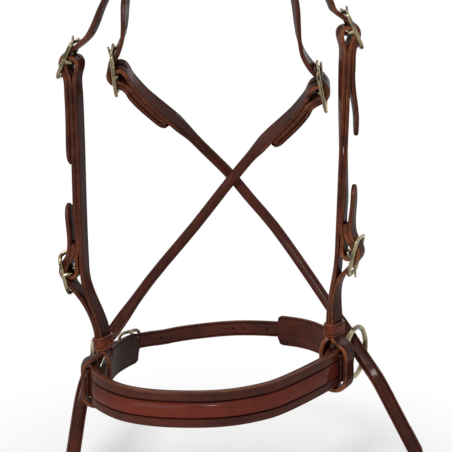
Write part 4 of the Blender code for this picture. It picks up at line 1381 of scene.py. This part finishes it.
@functools.cache
def leather_finish(name, dyed="body"):
    """Dyed bridle leather: cloudy dye, fine grain, creases and grooves darkened as painted shade, rubbed
    bends, and edges lightened by rubbing and by painted highlight.
    """
    warmth, wear_and_highlight, gloss = leathers[name]
    look = bpy.context.scene.bridle_leather
    made = Finish(name)
    place = made.place()
    across, run, _ = lay = made.attribute("lay")
    crease, edge, bend = made.attribute("mark")
    cloud = made.noise(place, cloud_scale, 4, 0.6, 0.4)
    streak = made.noise(made.laid(lay, streak_scales), 1.0, 3, 0.6)
    pores = made.cells(place, pore_scale)
    grain = made.noise(place, grain_scale, 4, 0.65)
    body = tuple(a * (1 - warmth) + b * warmth for a, b in zip(getattr(look, dyed), look.keeper))
    deep = tuple(a * (1 - warmth * 0.6) + b * warmth * 0.6 for a, b in zip(look.deep, look.body))
    dye = made.ramp(cloud * 0.62 + streak * 0.38, 0.34, 0.62)
    colour = made.mix(dye, deep, body)
    if name == "noseband_leather":
        middle = 1 - made.ramp(abs(across), raised_width / 2 - 1.4 * mm, raised_width / 2 + 0.2 * mm)
        ends = made.ramp(run, 0.01, 0.07) * (1 - made.ramp(run, 0.25, 0.32))
        low = 1 - made.ramp(across, -6 * mm, 6 * mm)
        colour = made.mix(middle * ends * (0.35 + dye * 0.35 + low * 0.3), colour, tuple(look.middle))
    speckle = made.ramp(made.noise(place, speckle_scale, 3, 0.7), 0.5, 0.72)
    colour = made.mix(speckle * 0.1 * (0.4 + wear_and_highlight), colour, tuple(look.worn_and_highlit))
    # Edges and bends lighten towards the worn colour: real rubbing, and on the edges also a painted highlight
    rub_and_highlight_level = edge * 0.62 + bend * 0.3 + made.noise(place, rub_scale, 4, 0.7) * 0.55
    rub_and_highlight = made.ramp(rub_and_highlight_level, 0.74, 1.12)
    colour = made.mix(rub_and_highlight * wear_and_highlight, colour, tuple(look.worn_and_highlit))
    # Painted shade: the crease lines and the noseband's grooves are darkened towards the deep dye
    dark = made.ramp(crease, 0.25, 0.95)
    colour = made.mix(dark * 0.8, colour, tuple(c * 0.4 for c in look.deep))
    made.set(Base_Color=colour)
    rough = 0.36 - gloss * 0.14 + grain * 0.12 + rub_and_highlight * 0.05 + dark * 0.12 - dye * 0.04
    made.set(Roughness=rough, Coat_Weight=(0.1 + gloss * 0.2) * (1 - dark))
    made.set(Coat_Roughness=0.15, Specular_IOR_Level=0.0)
    wrinkle = made.noise(made.laid(lay, wrinkle_scales), 1.0, 3, 0.6) * made.ramp(bend, 0.35, 0.9)
    relief = pores * 0.45 + grain * 0.55
    under = made.bump(wrinkle, wrinkle_depth, 0.6)
    made.set(Normal=made.bump(relief, grain_depth, 0.4, under))
    return made.material


@functools.cache
def thread_finish(name="waxed_thread"):
    """Waxed thread, twisted."""
    sewing = bpy.context.scene.bridle_thread
    made = Finish(name)
    place = made.place()
    twist = made.noise(place, twist_scale, 2, 0.5)
    light = tuple(min(1, c * 1.7) for c in sewing.colour)
    made.set(Base_Color=made.mix(made.ramp(twist, 0.35, 0.65), tuple(c * 0.6 for c in sewing.colour), light))
    made.set(Roughness=0.5 + twist * 0.15, Normal=made.bump(twist, twist_depth, 0.6))
    made.set(Specular_IOR_Level=0.1)
    return made.material


@functools.cache
def steel_finish(name="polished_steel"):
    """Polished steel, dark and warm as painted reflection, with faint scratches, a dull film laid at random
    and painted shade along the wires' sides.
    """
    metal = bpy.context.scene.bridle_steel
    made = Finish(name)
    place = made.place()
    film = made.ramp(made.noise(place, film_scale, 3, 0.6, 0.9), 0.42, 0.62)
    drawn = made.node("ShaderNodeMapping", None, {"Vector": place, "Scale": scratch_scales})
    scratch = made.noise(drawn, 1, 2)
    # Painted shade: the sides of every wire, marked by its section, take the tarnish colour
    side = made.attribute("mark")[0]
    tarnish_and_shade = film * 0.62 + side * 0.5
    made.set(Base_Color=made.mix(tarnish_and_shade, tuple(metal.colour), tuple(metal.shade)))
    made.set(Metallic=1.0, Roughness=0.07 + tarnish_and_shade * 0.12 + scratch * 0.06)
    made.set(Normal=made.bump(scratch, scratch_depth, 0.25))
    return made.material


class BRIDLE_OT_cheekpieces(bpy.types.Operator):
    """Make both cheekpieces: one strap each, folded round two buckles and looped under the noseband"""

    bl_idname = "bridle.cheekpieces"
    bl_label = "Cheekpieces"

    def execute(self, context):
        inset = context.scene.bridle_leather.crease_in
        for cheek in (plan().left, plan().right):
            name = cheek.name + "_cheekpiece"
            path = fine(plan().cheek_paths[cheek.name])
            cuts = (cheek.top.slot(bmesh.new()), cheek.low.slot(bmesh.new()), cheek.low.hole(bmesh.new()))
            mesh = strap_mesh(name, path, *cuts)
            # The right cheekpiece takes the brighter copy of the strap leather as painted light
            finish = "right_cheek_leather" if cheek.side > 0 else "strap_leather"
            place_leather(name, mesh, leather_finish(finish))
            sewing = bmesh.new()
            for rest, first, last in (
                (cheek.turned_back, row_start, length_of(cheek.turned_back) - row_end),
                (cheek.fall, row_end, fall_row),
            ):
                stitch_edges(sewing, fine(rest), cheek_width, inset, strap_thick, first, last, cheek.outward)
            place_stitching(name, sewing)
        return {"FINISHED"}


class BRIDLE_OT_keepers(bpy.types.Operator):
    """Make the two tan keepers that hold the hanging loops together"""

    bl_idname = "bridle.keepers"
    bl_label = "Keepers"

    def execute(self, context):
        for cheek in (plan().left, plan().right):
            name = cheek.name + "_keeper"
            across, up = cheek.keeper.across, cheek.keeper_up
            out = up.cross(across)
            wide = cheek_width / 2 + fit + keeper_thick / 2
            deep = (strap_thick * 2 + fit) / 2 + fit + keeper_thick / 2
            corner = deep * keeper_corner_share
            stations = []
            for quarter, (x, y) in enumerate(((1, 1), (-1, 1), (-1, -1), (1, -1))):
                for step in range(keeper_corner_steps + 1):
                    angle = (quarter + step / keeper_corner_steps) * math.pi / 2
                    place = cheek.keeper.place + across * (x * (wide - corner) + corner * math.cos(angle))
                    place += out * (y * (deep - corner) + corner * math.sin(angle))
                    stations.append(Station(place, up, keeper_height / 2, keeper_thick / 2))
            stations = even(stations + stations[:1], keeper_spacing)[:-1]
            mesh = mesh_of(name, skin(new_body(), stations, closed=True))
            finish = leather_finish("keeper_leather")
            place_piece(name + "_leather", mesh, finish, [name])
            inward = -cheek.outward
            reach = deep * keeper_sewn_share
            half = [s for s in stations if (s.place - cheek.keeper.place).dot(inward) > reach]
            sewing = bmesh.new()
            row = even(half, close_spacing)
            stitch_row(sewing, row, 0, keeper_thick / 2 - thread_sink, 0, length_of(row) / 2, inward)
            place_stitching(name, sewing)
        return {"FINISHED"}


class BRIDLE_OT_cross_straps(bpy.types.Operator):
    """Make both jaw straps: flat at the buckle, rolled below it, flat again to the rein ring"""

    bl_idname = "bridle.cross_straps"
    bl_label = "Cross straps"

    def execute(self, context):
        inset = context.scene.bridle_leather.crease_in
        for cross in (plan().left_cross, plan().right_cross):
            name = cross.name + "_cross_strap"
            mesh = strap_mesh(name, fine(cross.path()), cross.buckle.slot(bmesh.new()))
            place_leather(name, mesh, leather_finish("cross_strap_leather"))
            sewing = bmesh.new()
            back = fine(cross.turned_back)
            last = length_of(cross.turned_back) - row_end
            stitch_edges(sewing, back, cross_width, inset, strap_thick, row_start, last, cross.outward)
            for foot, facing in ((cross.main[-tail_sewn_count:], -rearward), (cross.flap, rearward)):
                foot = fine(foot)
                last = length_of(foot) - foot_row_end
                stitch_edges(
                    sewing, foot, rein_width, foot_stitch_in, rein_thick, foot_row_end, last, facing
                )
            place_stitching(name, sewing)
        return {"FINISHED"}


class BRIDLE_OT_crownpiece(bpy.types.Operator):
    """Make the crownpiece: the poll plate and the two straps sewn to it, with their punched billets"""

    bl_idname = "bridle.crownpiece"
    bl_label = "Crownpiece"

    def execute(self, context):
        look = context.scene.bridle_leather
        right = [
            Station(crown_arch(1, arch_sweep * i / arch_steps, 0), rearward, crown_width / 2, crown_thick / 2)
            for i in range(arch_steps + 1)
        ]
        plate = [s.moved(Vector((-s.place.x, s.place.y, s.place.z))) for s in right[::-1]] + right
        layers = [strap_mesh("crown_plate", fine(plate))]
        sewing = bmesh.new()
        last = length_of(plate) - row_end
        stitch_edges(
            sewing, fine(plate), crown_width, plate_stitch_in, crown_thick, row_end, last, upward
        )
        crosses = (plan().left_cross, plan().right_cross)
        for plane, width, reach, pair in (
            (cheek_plane, cheek_width, upper_billet_reach, (
                (plan().left.top, cheek_tail_out, plan().left),
                (plan().right.top, cheek_tail_out, plan().right),
            )),
            (cross_plane, cross_width, cross_billet_reach, (
                (crosses[0].buckle, left_cross_tail_out, crosses[0]),
                (crosses[1].buckle, right_cross_tail_out, crosses[1]),
            )),
        ):
            tails = []
            holes, row = bmesh.new(), bmesh.new()
            for side, (buckle, out, carrier) in zip((-1, 1), pair):
                tail = crown_tail(side, buckle, plane, width, out, carrier.rest(), reach)
                tails.append(tail)
                buckle.hole(holes)
                close = fine(tail)
                end = length_of(close)
                below = end - tip_length
                marks = [below - look.hole_gap * (i + tip_hole_share) for i in range(tip_hole_count)]
                hole_row(row, close, marks, tip_hole_depth)
                above = end - reach - look.hole_gap * (1 + tip_hole_share)
                marks = [above - look.hole_gap * i for i in range(hole_count)]
                hole_row(row, close, marks, upper_hole_depth)
            layers.append(strap_mesh("crown_strap", fine(tails[0][::-1] + tails[1]), holes, row))
        place_leather("crownpiece", joined("crownpiece", layers), leather_finish("strap_leather"))
        place_stitching("crownpiece", sewing)
        return {"FINISHED"}


def nose_section(station):
    """The cover's section: rounded rims, a groove each side and the raised middle. Roundness is its rise."""
    rim, groove, wall = nose_width / 2, raised_width / 2, groove_width / 2
    rise = station.roundness
    top = cover_thick
    low = top - groove_depth * (0.25 + 0.75 * rise)
    high = raised_height * rise
    half = [
        (rim - 0.3 * mm, 0, 0, 0.7),
        (rim, 0.6 * mm, 0, 1),
        (rim, top - 1.5 * mm, 0, 1),
        (rim - 0.45 * mm, top - 0.45 * mm, 0, 1),
        (rim - 1.5 * mm, top, 0, 0.6),
        (rim - 2.6 * mm, top, 0, 0),
        (groove + wall + 1.2 * mm, top, 0, 0),
        # The third numbers mark the groove, which the leather finish darkens as painted shade
        (groove + wall * 0.9, top - 0.12 * mm * rise, 0.2, 0.25),
        (groove + wall * 0.35, low + 0.1 * mm, 0.9, 0),
        (groove, low, 1, 0),
        (groove - wall * 0.5, low + 0.35 * mm * rise, 0.8, 0),
        (groove - wall, top + high * 0.12, 0.3, 0.1),
        (groove - wall * 1.9, top + high * 0.5, 0, 0.5),
        (groove - wall * 3.2, top + high * 0.76, 0, 0.15),
        (groove * 0.3, top + high * 0.93, 0, 0),
        (0, top + high, 0, 0),
    ]
    return half + [(-x, y, c, e) for x, y, c, e in half[-2::-1]]


class BRIDLE_OT_noseband(bpy.types.Operator):
    """Make the noseband: a plain backing and a raised, grooved and stitched cover"""

    bl_idname = "bridle.noseband"
    bl_label = "Noseband"

    def execute(self, context):
        loop = plan().loop
        start, end = nose_end, loop.front_run - nose_end
        offset = backing_thick / 2 - nose_half_thick
        back = loop.strap(start, end, offset, nose_width / 2, backing_thick)
        mesh = strap_mesh("noseband_backing", fine(back))
        place_leather("noseband_backing", mesh, leather_finish("backing_leather"))
        base = -nose_half_thick + backing_thick + fit
        stations = fine(loop.strap(start, end, base, nose_width / 2, cover_thick))
        runs = runs_of(stations)
        total = runs[-1]
        for station, run in zip(stations, runs):
            near = min(run, total - run)
            station.roundness = smooth((near - raised_from) / raised_fade)
        mesh = mesh_of("noseband_cover", skin(new_body(), stations, nose_section))
        cover = place_leather("noseband_cover", mesh, leather_finish("noseband_leather"))
        sewing = bmesh.new()
        top = cover_thick - cover_thread_sink
        beside_groove = raised_width / 2 + groove_width / 2 + groove_stitch_out
        for side in (-1, 1):
            for offset, first in (
                (beside_groove, raised_from),
                (nose_width / 2 - rim_stitch_in, 3 * mm),
            ):
                stitch_row(sewing, stations, side * offset, top, first, total - first, None)
        place_stitching("noseband", sewing)
        return {"FINISHED"}


class BRIDLE_OT_ring_guards(bpy.types.Operator):
    """Make the guards inside the ring ends and the folded straps that hold the rings"""

    bl_idname = "bridle.ring_guards"
    bl_label = "Ring guards and chapes"

    def execute(self, context):
        loop = plan().loop
        for side, start, end, width in (
            ("left", guard_front, -left_guard_back, left_guard_width),
            ("right", loop.front_run - guard_front, loop.front_run + right_guard_back, right_guard_width),
        ):
            name = side + "_ring_guard"
            plain = fine(loop.strap(start, end, guard_offset, width / 2, guard_thick))
            runs = runs_of(plain)
            total = runs[-1]
            rounded = []
            for station, run in zip(plain, runs):
                short = max(0.0, 1 - min(run, total - run) / guard_corner)
                cut = guard_corner * (1 - math.sqrt(max(0.0, 1 - short * short))) * guard_cut_share
                rounded.append(station.moved(station.place, station.half - cut))
            mesh = strap_mesh(name, rounded)
            # The left guard is dyed darker and greyer than the right: partly lining, partly painted shade
            dyed = "shaded_lining" if side == "left" else "body"
            place_leather(name, mesh, leather_finish(side + "_guard_leather", dyed))
            sewing = bmesh.new()
            last = total - guard_corner
            lift = guard_thick / 2 - thread_sink
            for offset in (guard_stitch_in - width / 2, width / 2 - guard_stitch_in):
                for over in (lift, -lift):
                    stitch_row(sewing, plain, offset, over, guard_corner, last, None)
            place_stitching(name, sewing)
        for side, run, forward in (("left", 0, 1), ("right", loop.front_run, -1)):
            name = side + "_ring_chape"
            place, way, out = loop.frame(run)
            up = out.cross(way)
            half = ring_chape_width / 2
            turn = []
            for i in range(turn_steps + 1):
                angle = math.pi * i / turn_steps
                spot = place + out * (chape_offset * math.cos(angle))
                spot -= way * forward * (chape_offset * math.sin(angle))
                turn.append(Station(spot, up, half, ring_chape_thick / 2))
            first, last = run + loop_step / 2 * forward, run + ring_chape_leg * forward
            sides = [
                loop.strap(first, last, layer * chape_offset, half, ring_chape_thick) for layer in (1, -1)
            ]
            legs = [flared(side, ring_chape_wide / 2) for side in sides]
            stations = fine(legs[0][::-1] + turn + legs[1])
            place_leather(name, strap_mesh(name, stations), leather_finish("strap_leather"))
            sewing = bmesh.new()
            leg = fine(legs[0])
            last = length_of(leg) - row_end
            stitch_edges(
                sewing, leg, ring_chape_width, ring_chape_stitch_in, ring_chape_thick, row_start, last
            )
            place_stitching(name, sewing)
        return {"FINISHED"}


class BRIDLE_OT_chin_strap(bpy.types.Operator):
    """Make the punched chin strap and the short strap that carries its buckle"""

    bl_idname = "bridle.chin_strap"
    bl_label = "Chin strap"

    def execute(self, context):
        loop, buckle = plan().loop, plan().chin
        grip = buckle.seat + chape_run
        half = chin_width / 2
        inner = loop.strap(-chin_start, chin_settle - chin_buckle_back, chin_offset, half, chin_thick)
        chape = buckle.chape()
        inner += bridge(inner[-1], inner[-1].place - inner[-2].place, chape[0], -buckle.down, 2)
        mesh = strap_mesh("chin_buckle_strap", fine(inner + chape), buckle.slot(bmesh.new()))
        place_leather("chin_buckle_strap", mesh, leather_finish("strap_leather"))
        billet = buckle.billet()
        start = loop.front_run + chin_start
        lead = chin_buckle_back + chin_approach
        line = loop.strap(start, loop.length - lead, chin_offset, half, chin_thick)
        line += bridge(line[-1], line[-1].place - line[-2].place, billet[0], -buckle.billet_way(), 3) + billet
        last = buckle.station(buckle.at(grip + loop_step / 2, (chin_thick + fit) * 1.5))
        line = tapered_tip(line + [last], buckle.down)
        close = fine(line)
        row = bmesh.new()
        for station, _ in spots(close, [run_at(close, x) for x in chin_mark_places]):
            inward = -Vector((station.place.x, station.place.y, 0)).normalized()
            place = station.place + inward * chin_thick / 4
            round_cutter(row, place, inward, chin_mark / 2, chin_thick)
        mesh = strap_mesh("chin_strap", close, buckle.hole(bmesh.new()), row)
        place_leather("chin_strap", mesh, leather_finish("chin_leather"))
        sewing = bmesh.new()
        rows = ((close, right_guard_back - chin_start - 3 * mm), (fine(inner), chin_buckle_row))
        for offset in (chin_stitch_in - half, half - chin_stitch_in):
            for stations, last in rows:
                stitch_row(sewing, stations, offset, chin_thick / 2 - thread_sink, row_end, last, None)
        place_stitching("chin_strap", sewing)
        return {"FINISHED"}


class BRIDLE_OT_buckles(bpy.types.Operator):
    """Make the seven buckles and their tongues"""

    bl_idname = "bridle.buckles"
    bl_label = "Buckles"

    def execute(self, context):
        route = plan()
        cheeks = (route.left.top, route.left.low, route.right.top, route.right.low)
        for buckle in cheeks + (route.left_cross.buckle, route.right_cross.buckle, route.chin):
            buckle.make_frame()
            buckle.make_tongue()
        return {"FINISHED"}


class BRIDLE_OT_rings(bpy.types.Operator):
    """Make the noseband's two rings and the two rein rings"""

    bl_idname = "bridle.rings"
    bl_label = "Rings"

    def execute(self, context):
        loop = plan().loop
        major = (ring_inside + ring_wire) / 2
        rings = []
        for side, run, turn in (("left", 0, left_ring_turn), ("right", loop.front_run, right_ring_turn)):
            way = Vector((math.sin(turn), math.cos(turn), 0))
            centre = loop.plain(run) + way * major
            rings.append((side + "_noseband_ring", centre, way, upward, major, ring_wire / 2))
        for cross in (plan().left_cross, plan().right_cross):
            centre, across, way = cross.tail()[1]
            major = (rein_ring_inside + rein_ring_wire) / 2
            rings.append((cross.name + "_rein_ring", centre, across, way, major, rein_ring_wire / 2))
        for name, centre, way, rise, major, minor in rings:
            normal = way.cross(rise)
            stations = []
            for i in range(ring_count):
                angle = 2 * math.pi * i / ring_count
                place = centre + way * (major * math.cos(angle)) + rise * (major * math.sin(angle))
                stations.append(Station(place, normal, minor, minor))
            place_steel(name, skin(new_body(), stations, wire_section, closed=True), name)
        return {"FINISHED"}


class BRIDLE_OT_stage(bpy.types.Operator):
    """Set the pale floor, the soft lamps and the camera"""

    bl_idname = "bridle.stage"
    bl_label = "Stage"

    def execute(self, context):
        stage = context.scene.bridle_stage
        self.floor(stage)
        self.lamps(stage)
        self.sky(context)
        data = bpy.data.cameras.new("camera")
        data.lens, data.sensor_width = stage.lens, 36
        data.clip_start, data.clip_end = 0.05, 30
        camera = linked("camera", data)
        back = Vector((0, -math.cos(stage.elevation), math.sin(stage.elevation)))
        camera.location = Vector(view_target) + back * stage.distance
        camera.rotation_euler = (math.pi / 2 - stage.elevation, 0, 0)
        context.scene.camera = camera
        context.scene.view_settings.view_transform = "Standard"
        return {"FINISHED"}

    def floor(self, stage):
        body = bmesh.new()
        bmesh.ops.create_grid(body, x_segments=2, y_segments=2, size=floor_half)
        bmesh.ops.translate(body, vec=(0, 0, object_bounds()[0][2] - stage.floor_drop), verts=body.verts)
        mesh = plain_mesh("floor", body)
        floor = linked("floor", mesh)
        made = Finish("floor_paint")
        place = made.place()
        tone = made.noise(place, 3, 2)
        made.set(Base_Color=made.mix(tone, tuple(stage.floor), (0.95, 0.95, 0.945)), Roughness=0.9)
        made.set(Specular_IOR_Level=0.1)
        level = made.node("ShaderNodeVectorMath", {"operation": "MULTIPLY"}, {0: place, 1: (1, 1, 0)})
        far = made.node("ShaderNodeVectorMath", {"operation": "LENGTH"}, {0: level}, "Value")
        white = made.node("ShaderNodeEmission", None, {"Color": (1, 1, 1, 1), "Strength": 1.0})
        share = made.ramp(far, 0.08, 0.34) * made.seen()
        joined = made.node("ShaderNodeMixShader", None, {0: share, 1: made.principled(), 2: white})
        made.tree.links.new(joined.socket, made.tree.nodes["Material Output"].inputs["Surface"])
        mesh.materials.append(made.material)
        floor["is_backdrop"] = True

    def lamps(self, stage):
        for name, place, size, power in (
            ("key_lamp", (-0.3, -1.4, 0.85), 0.36, stage.key),
            ("fill_lamp", (-1.2, -1.1, 0.1), 1.1, stage.fill),
            ("top_lamp", (-0.1, 0.25, 1.3), 1.1, stage.fill),
            ("back_lamp", (0.3, 1.5, 0.2), 1.2, stage.fill),
        ):
            data = bpy.data.lights.new(name, "AREA")
            data.shape, data.size, data.energy = "SQUARE", size, power
            lamp = linked(name, data)
            lamp.location = place
            lamp.rotation_euler = (Vector(lamp_target) - Vector(place)).to_track_quat("-Z", "Y").to_euler()

    def sky(self, context):
        world = bpy.data.worlds.new("studio")
        context.scene.world = world
        world.use_nodes = True
        made = Tree(world.node_tree)
        ground = made.tree.nodes["Background"]
        made.plug(ground.inputs["Color"], (1, 1, 1, 1))
        level = made.node("ShaderNodeMapRange", None, {"Value": made.seen(), "To Min": sky_light})
        made.plug(ground.inputs["Strength"], level)


class BRIDLE_PT_panel(bpy.types.Panel):
    """Lists the bridle's pieces and settings"""

    bl_idname = "BRIDLE_PT_panel"
    bl_label = "Bitless bridle"
    bl_space_type = "VIEW_3D"
    bl_region_type = "UI"
    bl_category = "Bridle"

    def draw(self, context):
        for made in steps:
            self.layout.operator(made.bl_idname)
        for group in groups:
            settings = getattr(context.scene, group)
            box = self.layout.box()
            for name in settings.__annotations__:
                box.prop(settings, name)


steps = (
    BRIDLE_OT_crownpiece, BRIDLE_OT_cheekpieces, BRIDLE_OT_keepers, BRIDLE_OT_cross_straps,
    BRIDLE_OT_noseband, BRIDLE_OT_ring_guards, BRIDLE_OT_chin_strap, BRIDLE_OT_buckles,
    BRIDLE_OT_rings, BRIDLE_OT_stage,
)
groups = {
    "bridle_leather": LeatherSettings, "bridle_thread": ThreadSettings,
    "bridle_steel": SteelSettings, "bridle_stage": StageSettings,
}


def register():
    for made in tuple(groups.values()) + steps + (BRIDLE_PT_panel,):
        bpy.utils.register_class(made)
    for name, made in groups.items():
        setattr(bpy.types.Scene, name, PointerProperty(type=made))


def unregister():
    for name in groups:
        delattr(bpy.types.Scene, name)
    for made in (BRIDLE_PT_panel,) + steps[::-1] + tuple(groups.values()):
        bpy.utils.unregister_class(made)


def main():
    register()
    for made in steps:
        area, call = made.bl_idname.split(".")
        getattr(getattr(bpy.ops, area), call)()


if __name__ == "__main__":
    main()
